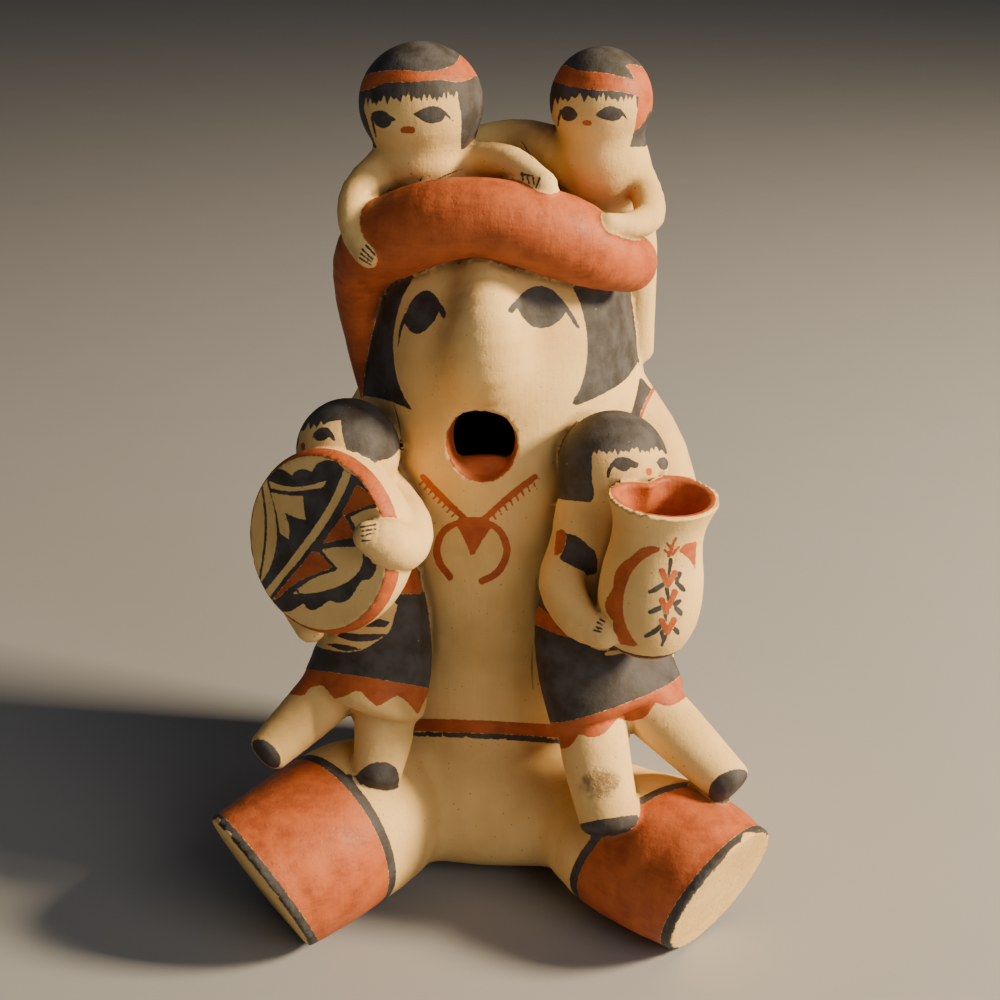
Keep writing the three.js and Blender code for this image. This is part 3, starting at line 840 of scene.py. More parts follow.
class Canvas:
    """The slip painting on a set of points: signed distances in millimetres, positive inside each colour."""

    NEAR = 12.0
    MARGIN = 4.0
    FRONT_FROM = 0.04
    BEHIND_FROM = 0.08
    FACING_REACH = 12.0

    def __init__(self, points, lean):
        self.points = points
        self.height = points[:, 2]
        self.rows = in_blocks(lump_distances, points)
        self.spots, self.scale = picture(points)
        self.facing = (unit(lean) * unit(EYE - points)).sum(1)
        self.dark = np.full(len(points), -FAR)
        self.rust = np.full(len(points), -FAR)
        self.fine = np.full(len(points), FAR)
        self.wear = np.zeros(len(points))
        self.pitted = np.zeros(len(points))
        self.crack = np.full(len(points), -FAR)

    def own(self, *names):
        """How far inside the named forms a point lies, rather than in the others."""
        chosen = np.array([any(name == n or name.startswith(n + ".") for n in names) for name in NAMES])
        here = self.rows[chosen].min(axis=0)
        others = self.rows[~chosen].min(axis=0)
        return (others - here) / 2

    def lay(self, colour, inside, fine=False):
        """Paints a colour over what is there."""
        for name in ("dark", "rust"):
            layer = getattr(self, name)
            if name == colour:
                setattr(self, name, np.maximum(layer, inside))
            else:
                setattr(self, name, np.minimum(layer, -inside))
        if fine:
            self.fine = np.minimum(self.fine, np.abs(inside))

    def front(self, on):
        """Limits a painted shape to the side that the photograph shows."""
        return np.minimum(on, self.FACING_REACH * (self.facing - self.FRONT_FROM))

    def behind(self, on):
        """Limits a painted shape to the side that the photograph doesn't show."""
        return np.minimum(on, self.FACING_REACH * (self.BEHIND_FROM - self.facing))

    def scuff(self, on, away, reach):
        """Wears the slip near a line that the points lie so far away from."""
        wear = np.clip(WEAR_MOST - np.abs(away) / reach, 0, 1) * (on > -1)
        self.wear = np.maximum(self.wear, wear)

    def shapes(self, colour, on, *paths, fine=False):
        """Paints outlined areas that are placed in the photograph."""
        for path in paths:
            self._place(colour, on, path, fine, partial(flat_distance, closed_by_axis=False))

    def strokes(self, colour, on, brush, *paths):
        """Paints brush strokes that are placed in the photograph."""
        for path in paths:
            self._place(colour, on, path, True, partial(stroke_distance, widths=brush))

    def _place(self, colour, on, path, fine, measure):
        path = np.asarray(path, float)
        margin = self.MARGIN / self.scale.min()
        low, high = path.min(axis=0) - margin, path.max(axis=0) + margin
        near = np.all((self.spots > low) & (self.spots < high), axis=1) & (on > -self.NEAR)
        inside = np.full(len(self.points), -FAR)
        inside[near] = measure(self.spots[near], path) * self.scale[near]
        self.lay(colour, np.minimum(inside, on), fine)


# The painting, placed by pixels of the photograph where it shows and by levels and planes elsewhere

# Widths along a brush stroke, in pixels
EYE_TAIL_BRUSH = (4, 3, 1.2)
CHILD_TAIL_BRUSH = (3, 2.4, 1.2)
LIP_BRUSHES = {"crown_left": (7, 7), "crown_right": (5.5, 5.5), "drummer": (4.5, 4.5), "bearer": (6, 6)}
STRING_BRUSH = (6, 7, 6)
COMB_BRUSH = (2.4, 1.8)
CRESCENT_BRUSH = (5, 7, 7.5, 7)
SHOULDER_BRUSH = (3.2, 3.2)
TICK_BRUSH = (2.2, 1.8)
# The dark stroke above the drummer's waist, partly the band's edge and partly painted shadow under the arm
WAIST_EDGE_AND_SHADOW_BRUSH = (5, 5, 3)
TASSEL_BRUSH = (3, 4.5, 3)
DRUM_LINE_BRUSH = (2, 2.4, 2.4)
STEM_BRUSH = (4.5, 3)
LEAF_BRUSH = (4.5, 5.5, 4)
HEART_BRUSH = (6.5, 5.5)
SPRIG_BRUSH = (2.4, 3.4)
CRACK_BRUSH = (0.5, 1.6, 0.5)

# The singer: levels in millimetres, outlines in pixels
HAIR_BACK = 153.0
HAIR_FRONT = 138.0
HAIR_FRONT_Y = -14.0
FACE = outline(
    [
        (413, 411), (404, 396), (397, 378), (393, 343), (395, 325), (400, 304), (408, 287), (418, 272),
        (432, 258),
    ],
    [(500, 215), (560, 266)],
    [(577, 296), (583, 314), (587, 335), (587, 356), (584, 376), (579, 391), (572, 401)],
    [(574, 405), (588, 401), (601, 395), (614, 388), (626, 379), (633, 370), (638, 362)], (720, 362),
    (720, 660), (300, 660), (300, 385), (378, 398), [(395, 403), (413, 411)],
)
LEFT_EYE = outline(
    [(403, 322), (408, 308), (414, 298), (421, 292), (428, 290.5), (434, 294), (439, 301), (444, 308)],
    [(446, 314), (444, 319)], [(441, 316), (439, 311)],
    [(436, 318), (430, 326), (423, 332), (416, 334), (410, 331), (406, 325)],
)
LEFT_EYE_TAIL = [(406, 315), (401, 328), (398, 346)]
RIGHT_EYE = outline(
    [
        (508, 309), (513, 303), (518, 298), (525, 291), (533, 287), (541, 286), (549, 288), (556, 293),
        (563, 300),
    ],
    [(568, 307), (574, 316), (580, 328)], [(577, 328), (570, 318), (566, 312)],
    [(561, 319), (553, 325), (543, 328), (534, 327), (527, 322), (521, 315), (517, 308)],
    [(512, 313), (508, 312)],
)
NECKLACE_STRINGS = [[(423, 477), (440, 495), (464, 518)], [(535, 477), (515, 492), (484, 519)]]
NECKLACE_TEETH = 9
NECKLACE_TOOTH = 8.0
TOOTH_WAYS = ((-1.0, 1.0), (0.5, 1.2))
NECKLACE_DROP = outline(
    (459, 517), (488, 517), (492, 527), [(482, 541), (472, 559)], [(466, 543), (457, 526)],
)
NECKLACE_CRESCENT = [
    [(470, 522), (455, 524), (443, 532), (437, 548), (440, 563), (450, 577)],
    [(474, 522), (490, 524), (501, 533), (507, 550), (502, 566), (494, 575), (482, 581)],
]
SHOULDER_BAND = outline(
    (640, 376), (652, 390), [(644, 404), (637, 424)], (628, 422), [(635, 400), (640, 376)],
)
SHOULDER_LINE = [(654, 388), (646, 403), (639, 422)]
BELT_TOP = [(405, 718.5), (440, 719), (485, 720.5), (520, 722.5), (562, 725)]
BELT_MIDDLE = [(405, 730), (440, 732), (485, 733.5), (520, 735), (562, 738)]
BELT_FOOT = [(405, 736), (440, 737), (485, 739), (520, 741), (562, 744)]
BELT_LEVELS = (47.5, 42.8, 41.2)
BELT_FRONT = -22.0
BELT_MIDDLE_X = -1.0
BELT_HALF = 25.0

# The slip in the mouth, in millimetres
MOUTH_RIM = 0.9
MOUTH_START = 0.1
MOUTH_PAINT_MOST = 4.0

# The boots: rings through three places, widths in millimetres, and chips in pixels
LEFT_RING = ((320, 757), (372, 806), (396, 870))
RIGHT_RING = ((570, 878), (588, 842), (655, 790))
RING_WIDE = 3.0
RIM_WIDE = 2.7
SOLE_SINK = 0.12
RIM_WEAR_AT = 1.0
RIM_WEAR = 2.5
WEAR_MOST = 1.2
RIM_CHIPS = [
    outline([(208, 828), (212, 821), (219, 817)], [(221, 821), (216, 825), (209, 830)]),
    outline([(223, 836), (225, 830), (229, 831), (232, 835), (228, 839), (223, 836)]),
    outline([(259, 875), (268, 885), (279, 897)], [(277, 898), (266, 887), (259, 875)]),
    outline(
        [(741, 842), (744, 833), (757, 833)], [(752, 841), (741, 850), (727, 862)],
        [(726, 857), (732, 848), (741, 842)],
    ),
]

# Fine cracks and a pitted patch
CRACKS = [
    [(422, 183), (436, 180), (450, 174), (463, 169)], [(519, 139), (525, 147), (532, 159)],
    [(536, 576), (537, 590)], [(533, 645), (532, 668), (533, 690)], [(392, 400), (398, 420), (401, 440)],
]
PITTED_AT = (599, 784)
PITTED_SIZES = (36, 25.92)
PITTED_MOST = 1.35
# How far out from each point the clay is sought, for the painted shade in crevices and between parts
CREVICE_SHADE_REACHES = (1.5, 3.0, 6.0)

# The drummer
DRUMMER_FACE = outline(
    [(299, 437), (301, 431), (304, 431)], (309, 422), (310, 430), (314, 424), (317, 428), (321, 421),
    (324, 425), (328, 422), (341, 420), [(342, 430), (344, 442), (349, 457)], (349, 475), (285, 475),
    (296, 452), [(298, 445), (299, 437)],
)
DRUMMER_HAIR_EDGE = outline(
    [(349, 457), (357, 460), (367, 465)], [(373, 463), (377, 460)], [(388, 459), (395, 455)], (399, 449),
    (420, 449), (420, 500), (340, 500), (340, 457),
)
DRUMMER_EYE = outline(
    [(312, 439), (314, 433), (318, 429), (323, 427), (328, 428), (332, 432), (335, 438), (336, 441)],
    [(334, 441), (329, 437)], [(325, 440), (320, 441), (316, 440), (314, 437)],
)
DRUMMER_LIPS = [(303, 445), (303, 448)]
DRUMMER_WAIST = [(405, 568), (420, 567), (422, 594), (398, 594), (390, 580)]
# A dark stroke above the rust waist: the band's edge, and painted shadow under the arm
DRUMMER_WAIST_EDGE_AND_ARM_SHADOW = [(402, 567), (414, 566), (427, 560)]
DRUMMER_HEM = ((330, 672), (365, 677), (418, 686))
DRUMMER_SCALLOPS = outline(
    (270, 700), (304, 696), [(310, 688), (322, 685)], [(328, 691), (334, 699)], [(345, 696), (359, 689)],
    [(368, 699), (378, 707)], [(387, 701), (397, 695)], [(407, 702), (418, 715)], [(424, 702), (430, 690)],
    (450, 690), [(450, 780), (270, 780)],
)
DRUMMER_TICKS = [
    [(361, 527), (376, 524.5)], [(362, 531), (376, 529)], [(362, 536), (374, 533)],
    [(362, 541), (371, 540)],
]

# The drum's face and rim, and the sash under it
DRUM_FIELD = outline(
    [(267, 482), (270, 473), (277, 469), (284, 470), (292, 476)], [(296, 471), (303, 469), (312, 472)],
    [(317, 464), (323, 461), (331, 460), (338, 463), (345, 470)],
    [(352, 474), (360, 479), (370, 490), (382, 507)], [(366, 510), (350, 517)],
    [(355, 526), (358, 540), (356, 547)], [(340, 547), (321, 549)], [(330, 560), (339, 570)],
    [(325, 574), (312, 579)], [(296, 590), (280, 602)], (268, 602), (260, 590), (260, 585),
    [(270, 568), (275, 552), (277, 535), (276, 520), (272, 500), (267, 482)],
)
DRUM_BOAT = outline(
    [(269, 481), (280, 485), (292, 487), (306, 486), (318, 483), (327, 480)],
    [(323, 487), (313, 489), (300, 491), (285, 491), (271, 488)],
)
DRUM_FEATHER = outline(
    [(271, 492), (285, 495), (303, 496)], [(304, 508), (306, 520)], [(297, 518), (285, 513)],
    [(289, 526), (289, 540)], (280, 533), [(277, 515), (271, 492)],
)
DRUM_STRIPE = outline(
    [
        (344, 470), (338, 485), (330, 502), (321, 517), (310, 533), (298, 549), (286, 565), (274, 580),
        (264, 592),
    ],
    (270, 597),
    [(284, 578), (298, 562), (310, 546), (321, 532), (331, 516), (339, 502), (346, 488), (351, 475)],
)
DRUM_RUST = [
    outline(
        [(357, 484), (368, 493), (378, 503)], [(362, 508), (344, 516)], (342, 513),
        [(350, 498), (357, 484)],
    ),
    outline([(343, 515), (350, 525), (354, 538)], [(338, 540), (322, 544)], [(333, 528), (343, 515)]),
    outline(
        [(318, 552), (326, 560), (333, 568)], [(318, 573), (303, 579), (288, 589), (276, 601)], (272, 600),
        [(290, 578), (303, 563), (312, 552), (318, 552)],
    ),
]
DRUM_ARC = outline(
    [(270, 600), (278, 610), (288, 612), (304, 603)], [(309, 610), (317, 609), (330, 600)],
    [(338, 603), (348, 600), (361, 581)], [(370, 579), (376, 570), (378, 558)], [(374, 552), (362, 552)],
    [(363, 562), (359, 571), (349, 581), (334, 588), (314, 593), (289, 594)], [(280, 598), (270, 600)],
)
DRUM_LINE = [(262, 487), (265, 508), (266, 528), (264, 552), (259, 583)]
DRUM_RIM_EDGE = 24.0
DRUM_RIM_DEEP = -4.4
DRUM_FACE_DEEP = 0.9
FACE_OVERLAP = 0.3
UNDER_DRUM = 1.0
DRUMMER_SASH = outline(
    [(296, 626), (306, 640), (321, 648)],
    [(342, 652), (362, 650), (376, 642), (389, 632), (394, 618), (398, 603)],
    [(380, 600), (330, 610), (296, 626)],
)
SASH_STRIPES = [
    outline([(364, 627), (372, 621), (380, 619), (390, 622)], [(386, 627), (376, 627), (364, 627)]),
    outline([(336, 636), (342, 633), (360, 634), (386, 634)], [(376, 640), (352, 641), (336, 636)]),
    outline([(325, 644), (340, 644), (362, 649)], [(345, 651), (325, 644)]),
]

# The jar bearer
BEARER_FACE = np.vstack([
    fringe([(592, 458), (604, 455), (618, 457), (632, 453), (645, 455), (656, 453), (672, 458)], 8, 15),
    outline([(700, 458), (700, 520), (600, 520)], (591, 502), [(594, 496), (592, 480), (592, 458)]),
])
BEARER_HAIR_EDGE = outline(
    [(552, 495), (560, 499), (575, 501), (591, 502)], (640, 502), [(640, 522), (540, 522), (540, 495)],
)
BEARER_EYES = [
    outline(
        [(607, 477), (607, 472), (610, 465), (615, 459), (622, 457), (629, 458), (634, 461)],
        [(639, 463), (638, 467)], [(634, 468), (631, 467)],
        [(627, 471), (621, 471), (617, 469), (614, 466)], [(611, 472), (609, 478)],
    ),
    outline([
        (656, 462), (660, 458), (664, 457), (668, 461), (668, 466), (665, 470), (661, 469), (658, 465),
        (656, 462),
    ]),
]
BEARER_LIPS = [(649, 470.5), (649, 472.5)]
BEARER_STRAP = outline([(556, 531), (561, 529), (566, 532)], [(566, 542), (561, 555)], (554, 556))
BEARER_BODICE = outline(
    [(563, 532), (576, 536), (588, 545), (595, 556)], [(593, 562), (597, 572)], [(586, 572), (560, 560)],
    [(560, 545), (563, 532)],
)
BEARER_GAP = outline(
    [(583, 528), (592, 545), (597, 558), (597, 574)], (580, 576), (598, 612), (650, 640), (650, 526),
)
BEARER_BELT = outline(
    [(530, 598), (545, 611), (560, 622), (588, 636)], [(584, 640), (560, 635), (530, 622)],
)
BEARER_HEM = ((562, 722), (610, 709), (655, 691))
BEARER_SCALLOPS = outline(
    [(536, 722), (548, 736), (558, 748), (569, 747), (580, 733)], [(590, 737), (602, 735), (618, 718)],
    [(630, 721), (645, 717), (656, 702)], [(666, 706), (676, 704), (690, 694)], (720, 700),
    [(720, 800), (530, 800)],
)
BEARER_TICKS = [
    [(600, 619), (605, 622)], [(597, 622), (602, 625)], [(596, 627), (602, 629)], [(594, 630), (601, 632)],
]
BEARER_TASSELS = [[(592, 646), (600, 648), (608, 649)], [(606, 654), (613, 653), (621, 652)]]

# The jar
JAR_FRAME = [
    outline(
        [(661, 548), (650, 546), (640, 549), (631, 557)], [(622, 563), (615, 573), (613, 589)],
        [(607, 598), (605, 606), (608, 615), (613, 621)], [(613, 631), (620, 644)], (640, 648),
        [(628, 630), (623, 612), (625, 590), (632, 572), (643, 560), (661, 550)],
    ),
    outline([(679, 551), (684, 545), (697, 541)], [(696, 555), (695, 570)], [(690, 560), (679, 551)]),
]
JAR_STEM = [
    [(671, 560), (669, 576)], [(667, 588), (669, 603)], [(665, 611), (666, 621)], [(662, 632), (663, 639)],
    [(668, 630), (662, 645)],
]
JAR_LEAVES = [
    [(664, 584), (656, 589), (650, 592)], [(663, 606), (656, 610), (650, 612)],
    [(662, 625), (654, 632), (646, 636)], [(677, 580), (679, 575), (680, 573)],
    [(677, 583), (682, 588), (684, 590)], [(675, 604), (678, 602), (680, 601)],
    [(676, 608), (680, 612), (681, 614)], [(673, 628), (676, 630), (678, 633)],
]
JAR_HEARTS = [
    [(662, 571), (668, 585)], [(675, 573), (668, 585)], [(662, 600), (667, 612)], [(675, 592), (669, 606)],
    [(662, 621), (667, 632)], [(674, 620), (668, 632)],
]
JAR_SPRIG = [
    [(676, 538), (673, 545), (669, 556)], [(667, 543), (672, 549)], [(665, 550), (670, 554)],
    [(679, 547), (673, 554)],
]
JAR_LINE = (1.9, 3.1)
JAR_LIP_INSIDE = 1.6
LIP_WEAR = 2.2

# The children on the crown
CROWN_LEFT_FACE = np.vstack([
    fringe([(364, 109), (380, 107), (404, 103), (424, 104), (443, 103), (458, 98)], 12, 19),
    outline(
        [(458, 98), (461, 114), (461, 139)], (461, 200), (340, 200), (340, 150), (377, 148),
        [(372, 135), (368, 122), (364, 109)],
    ),
])
CROWN_LEFT_EYES = [
    outline(
        [(371, 113), (377, 111), (384, 111), (390, 115), (397, 120)],
        [(392, 122), (388, 127), (382, 128), (376, 125), (371, 113)],
    ),
    outline(
        [(413, 114), (420, 110), (427, 107), (434, 106), (441, 108), (447, 113)],
        [(443, 120), (436, 123), (428, 123), (420, 119), (413, 114)],
    ),
]
CROWN_LEFT_TAILS = [[(372, 117), (374, 128), (376, 137)], [(444, 112), (448, 116), (453, 121)]]
CROWN_LEFT_LIPS = [(404, 130), (412, 130)]
CROWN_LEFT_BAND = outline(
    [(350, 79), (372, 73), (396, 70), (425, 71.5), (448, 67.5), (458, 60), (461, 48)], (461, 40), (490, 40),
    (490, 66), [(474, 77), (460, 82), (442, 80), (410, 82), (386, 83), (370, 89), (350, 94)],
)
CROWN_LEFT_BAND_LEVEL = ((364, 83), (410, 76), (468, 73))
CROWN_LEFT_TICKS = [
    [(366, 245), (376, 256)], [(362, 249), (373, 259)], [(361, 254), (372, 262)], [(360, 258), (371, 265)],
]
CROWN_LEFT_COMB = [
    [(522, 173), (523, 181)], [(527, 175), (529, 183)], [(533, 176), (534, 184)], [(540, 178), (536, 188)],
    [(521, 174), (533, 176)],
]

CROWN_RIGHT_FACE = np.vstack([
    fringe([(553, 108), (568, 103), (592, 103), (606, 102), (624, 104), (636, 100)], 10, 15),
    outline(
        [(636, 100), (637, 112), (635, 126), (630, 147)], (700, 147), [(700, 210), (540, 210)], (540, 150),
        (557, 144), [(553, 130), (551, 118), (553, 108)],
    ),
])
CROWN_RIGHT_EYES = [
    outline(
        [(560, 112), (564, 107), (569, 106), (574, 109), (578, 114)],
        [(575, 119), (570, 121), (564, 120), (560, 112)],
    ),
    outline(
        [(595, 115), (602, 109), (609, 106), (616, 107), (624, 113)],
        [(620, 119), (612, 121), (603, 119), (595, 115)],
    ),
]
CROWN_RIGHT_TAILS = [[(561, 111), (559, 118), (558, 126)], [(620, 110), (624, 115), (628, 120)]]
CROWN_RIGHT_LIPS = [(585, 123), (589, 123)]
CROWN_RIGHT_BAND = outline(
    [(540, 76), (554, 67), (566, 65)], [(577, 70), (605, 73), (638, 81)], [(632, 74), (625, 64)],
    [(636, 65), (650, 70)], (670, 70), [(670, 118), (653, 118)], (650, 108),
    [(647, 117), (641, 126), (634, 132)], [(637, 114), (639, 96)],
    [(620, 91.5), (590, 89.5), (565, 85), (540, 76)],
)
CROWN_RIGHT_BAND_LEVEL = ((560, 76), (600, 82), (640, 88))

# Widths and levels in millimetres, and where feet begin to be dark
BAND_WIDE = 3.5
HEM_WIDE = 8.0
DRESS_TOPS = {"drummer": 110.0, "bearer": 118.0}
BOB_LEVELS = {"drummer": 131.5, "bearer": 128.0, "crown_left": 222.0, "crown_right": 222.0}
FEET = {
    "drummer.far_leg": ((261, 739), (275, 748), (281, 760)),
    "drummer.near_leg": ((358, 773), (379, 762), (398, 772)),
    "bearer.near_leg": ((588, 822), (610, 818), (633, 815)),
    "bearer.far_leg": ((709, 789), (722, 774), (742, 769)),
}


def paint_singer(canvas):
    """The singer's hair, face, necklace, belt and shoulder band."""
    head = canvas.own("body", "nose")
    front = canvas.front(head)
    lobes = inside_all(front, canvas.height - HAIR_FRONT, HAIR_FRONT_Y - canvas.points[:, 1])
    canvas.lay("dark", np.maximum(np.minimum(head, canvas.height - HAIR_BACK), lobes))
    canvas.shapes(None, front, FACE)
    canvas.shapes("dark", front, LEFT_EYE, RIGHT_EYE, fine=True)
    canvas.strokes("dark", front, EYE_TAIL_BRUSH, LEFT_EYE_TAIL)
    paint_necklace(canvas, front)
    shoulder = canvas.front(canvas.own("body", "nose", "right_arm"))
    canvas.shapes("dark", shoulder, SHOULDER_BAND)
    canvas.strokes("rust", shoulder, SHOULDER_BRUSH, SHOULDER_LINE)
    paint_belt(canvas)


def paint_belt(canvas):
    """A rust belt with a dark line under it, as the photograph shows in front and level behind."""
    x, y, height = canvas.points.T
    around = canvas.own("body", "lap")
    front = np.minimum(canvas.front(around), BELT_FRONT - y)
    canvas.shapes("rust", front, ribbon(BELT_TOP, BELT_MIDDLE))
    canvas.shapes("dark", front, ribbon(BELT_MIDDLE, BELT_FOOT))
    behind = np.minimum(around, np.maximum(y - BELT_FRONT, np.abs(x - BELT_MIDDLE_X) - BELT_HALF))
    for colour, top, bottom in zip(("rust", "dark"), BELT_LEVELS, BELT_LEVELS[1:]):
        canvas.lay(colour, inside_all(behind, top - height, height - bottom))


def paint_necklace(canvas, front):
    """Two comb strings that carry a drop and an open crescent."""
    canvas.strokes("rust", front, STRING_BRUSH, *NECKLACE_STRINGS)
    shares = (np.arange(NECKLACE_TEETH) + 0.5)[:, None] / NECKLACE_TEETH
    for string, way in zip(NECKLACE_STRINGS, TOOTH_WAYS):
        start, stop = np.array([string[0], string[-1]], float)
        roots = start + shares * (stop - start)
        tips = roots + NECKLACE_TOOTH * unit(np.array(way))
        canvas.strokes("rust", front, COMB_BRUSH, *zip(roots, tips))
    canvas.shapes("rust", front, NECKLACE_DROP)
    canvas.strokes("rust", front, CRESCENT_BRUSH, *NECKLACE_CRESCENT)


def paint_boots(canvas):
    """Rust boots with a dark ring at the top and a worn dark rim round a bare sole."""
    for name, ring, sole in (("left_leg", LEFT_RING, LEFT_SOLE), ("right_leg", RIGHT_RING, RIGHT_SOLE)):
        outward = direction(sole["turn"], -sole["tilt"])
        on = canvas.own(name)
        past_ring = plane(ring, outward)(canvas.points)
        past_sole = (canvas.points - sole["at"]) @ outward
        canvas.lay("dark", np.minimum(on, past_ring))
        canvas.lay("rust", np.minimum(on, past_ring - RING_WIDE))
        canvas.lay("dark", np.minimum(on, past_sole + RIM_WIDE))
        canvas.lay(None, np.minimum(on, past_sole + SOLE_SINK))
        canvas.scuff(on, past_sole + RIM_WEAR_AT, RIM_WEAR)
        rim = canvas.front(np.minimum(on, past_sole + 2 * RIM_WIDE))
        canvas.shapes(None, rim, *RIM_CHIPS, fine=True)


def paint_limbs(canvas):
    """Dark feet, and fine strokes for fingers."""
    for name, spots in FEET.items():
        child, limb = name.split(".")
        inner, tip = (np.array(row[:3]) for row in CHILDREN[child]["limbs"][limb][-2:])
        canvas.lay("dark", np.minimum(canvas.own(name), plane(spots, tip - inner)(canvas.points)))
    ticks = {"drummer": DRUMMER_TICKS, "bearer": BEARER_TICKS, "crown_left": CROWN_LEFT_TICKS}
    for child, paths in ticks.items():
        canvas.strokes("dark", canvas.front(canvas.own(child)), TICK_BRUSH, *paths)
    canvas.strokes("dark", canvas.front(canvas.own("crown_left")), COMB_BRUSH, *CROWN_LEFT_COMB)


def paint_hair(canvas, child, face):
    """A child's bobbed hair round its face."""
    head = canvas.own(f"{child}.head", f"{child}.trunk")
    canvas.lay("dark", np.minimum(head, canvas.height - BOB_LEVELS[child]))
    canvas.shapes(None, canvas.front(canvas.own(child)), face, fine=True)


def paint_headband(canvas, child, band, spots):
    """A rust band round a child's hair."""
    on = canvas.own(f"{child}.head")
    past = plane(spots, WORLD_UP)(canvas.points)
    canvas.lay("rust", canvas.behind(np.minimum(on, BAND_WIDE / 2 - np.abs(past))))
    canvas.shapes("rust", canvas.front(on), band)


def paint_features(canvas, child, eyes, tails, lips):
    """A child's painted eyes and lips."""
    front = canvas.front(canvas.own(f"{child}.head"))
    canvas.shapes("dark", front, *eyes, fine=True)
    canvas.strokes("dark", front, CHILD_TAIL_BRUSH, *tails)
    canvas.strokes("rust", front, LIP_BRUSHES[child], lips)


def paint_crown_children(canvas):
    """The two children on the crown."""
    paint_hair(canvas, "crown_left", CROWN_LEFT_FACE)
    paint_headband(canvas, "crown_left", CROWN_LEFT_BAND, CROWN_LEFT_BAND_LEVEL)
    paint_features(canvas, "crown_left", CROWN_LEFT_EYES, CROWN_LEFT_TAILS, CROWN_LEFT_LIPS)
    paint_hair(canvas, "crown_right", CROWN_RIGHT_FACE)
    paint_headband(canvas, "crown_right", CROWN_RIGHT_BAND, CROWN_RIGHT_BAND_LEVEL)
    paint_features(canvas, "crown_right", CROWN_RIGHT_EYES, CROWN_RIGHT_TAILS, CROWN_RIGHT_LIPS)


def paint_dress(canvas, child, hem, scallops):
    """A dark dress with a rust hem."""
    on = canvas.own(f"{child}.trunk", f"{child}.near_leg", f"{child}.far_leg")
    past_hem = plane(hem, -WORLD_UP)(canvas.points)
    canvas.lay("dark", np.minimum(on, DRESS_TOPS[child] - canvas.height))
    canvas.lay("rust", np.minimum(on, past_hem))
    canvas.lay(None, np.minimum(on, past_hem - HEM_WIDE))
    canvas.shapes(None, canvas.front(on), scallops)


def paint_front_children(canvas):
    """The drummer and the jar bearer."""
    paint_dress(canvas, "drummer", DRUMMER_HEM, DRUMMER_SCALLOPS)
    paint_dress(canvas, "bearer", BEARER_HEM, BEARER_SCALLOPS)
    trunk = canvas.front(canvas.own("drummer.trunk"))
    canvas.shapes("rust", trunk, DRUMMER_WAIST)
    # Dark stroke above the waist: the band's edge, and painted shadow under the arm
    canvas.strokes("dark", trunk, WAIST_EDGE_AND_SHADOW_BRUSH, DRUMMER_WAIST_EDGE_AND_ARM_SHADOW)
    trunk = canvas.front(canvas.own("bearer.trunk"))
    side = canvas.front(canvas.own("bearer.trunk", "bearer.near_arm"))
    canvas.shapes(None, trunk, BEARER_GAP)
    canvas.shapes("dark", side, BEARER_BODICE)
    canvas.shapes("rust", side, BEARER_STRAP)
    canvas.shapes("rust", trunk, BEARER_BELT)
    canvas.strokes(None, trunk, TASSEL_BRUSH, *BEARER_TASSELS)
    paint_hair(canvas, "drummer", DRUMMER_FACE)
    canvas.shapes(None, canvas.front(canvas.own("drummer.head", "drummer.trunk")), DRUMMER_HAIR_EDGE)
    paint_features(canvas, "drummer", [DRUMMER_EYE], [], DRUMMER_LIPS)
    paint_hair(canvas, "bearer", BEARER_FACE)
    canvas.shapes(None, canvas.front(canvas.own("bearer.head", "bearer.trunk")), BEARER_HAIR_EDGE)
    paint_features(canvas, "bearer", BEARER_EYES, [], BEARER_LIPS)


def paint_drum(canvas):
    """The drum's painted face and rust rim, and the sash stripes under it."""
    radius, height = drum_place(canvas.points)
    on = canvas.own("drum")
    face = canvas.front(inside_all(on, height + DRUM_FACE_DEEP, DRUM_RIM_EDGE + FACE_OVERLAP - radius))
    canvas.shapes("dark", face, DRUM_FIELD)
    canvas.shapes(None, face, DRUM_BOAT, DRUM_FEATHER, DRUM_STRIPE, fine=True)
    canvas.shapes("rust", face, *DRUM_RUST, fine=True)
    canvas.shapes("dark", face, DRUM_ARC)
    canvas.strokes("dark", face, DRUM_LINE_BRUSH, DRUM_LINE)
    canvas.lay("rust", inside_all(on, radius - DRUM_RIM_EDGE, height - DRUM_RIM_DEEP))
    past_drum = canvas.rows[NAMES.index("drum")] + UNDER_DRUM
    under = canvas.front(np.minimum(canvas.own("drummer"), past_drum))
    canvas.shapes(None, under, DRUMMER_SASH)
    canvas.shapes("dark", under, *SASH_STRIPES, fine=True)


def paint_jar(canvas):
    """The jar's rust throat and frame, and the plant between them."""
    height = jar_place(canvas.points)[1]
    on = canvas.own("jar")
    front = canvas.front(on)
    canvas.shapes("rust", front, *JAR_FRAME)
    low, high = JAR_LINE
    canvas.lay("rust", np.minimum(on, low - height))
    canvas.lay("dark", inside_all(on, height - low, high - height), fine=True)
    canvas.strokes("dark", front, STEM_BRUSH, *JAR_STEM)
    canvas.strokes("dark", front, LEAF_BRUSH, *JAR_LEAVES)
    canvas.strokes("rust", front, HEART_BRUSH, *JAR_HEARTS)
    canvas.strokes("rust", front, SPRIG_BRUSH, *JAR_SPRIG)
    throat = JAR_LIP_INSIDE - jar_hollow_distance(canvas.points)
    canvas.lay("rust", np.minimum(throat, height - JAR_FLOOR))
    canvas.scuff(on, height - JAR_OUTSIDE[-1][0], LIP_WEAR)


def paint_mouth(canvas):
    """Rust slip on the lips and the start of the throat."""
    lips = MOUTH_RIM - MOUTH.distance(canvas.points)
    below_skin = -MOUTH_START - canvas.rows[NAMES.index("body")]
    canvas.lay("rust", inside_all(lips, below_skin, MOUTH_PAINT_MOST))


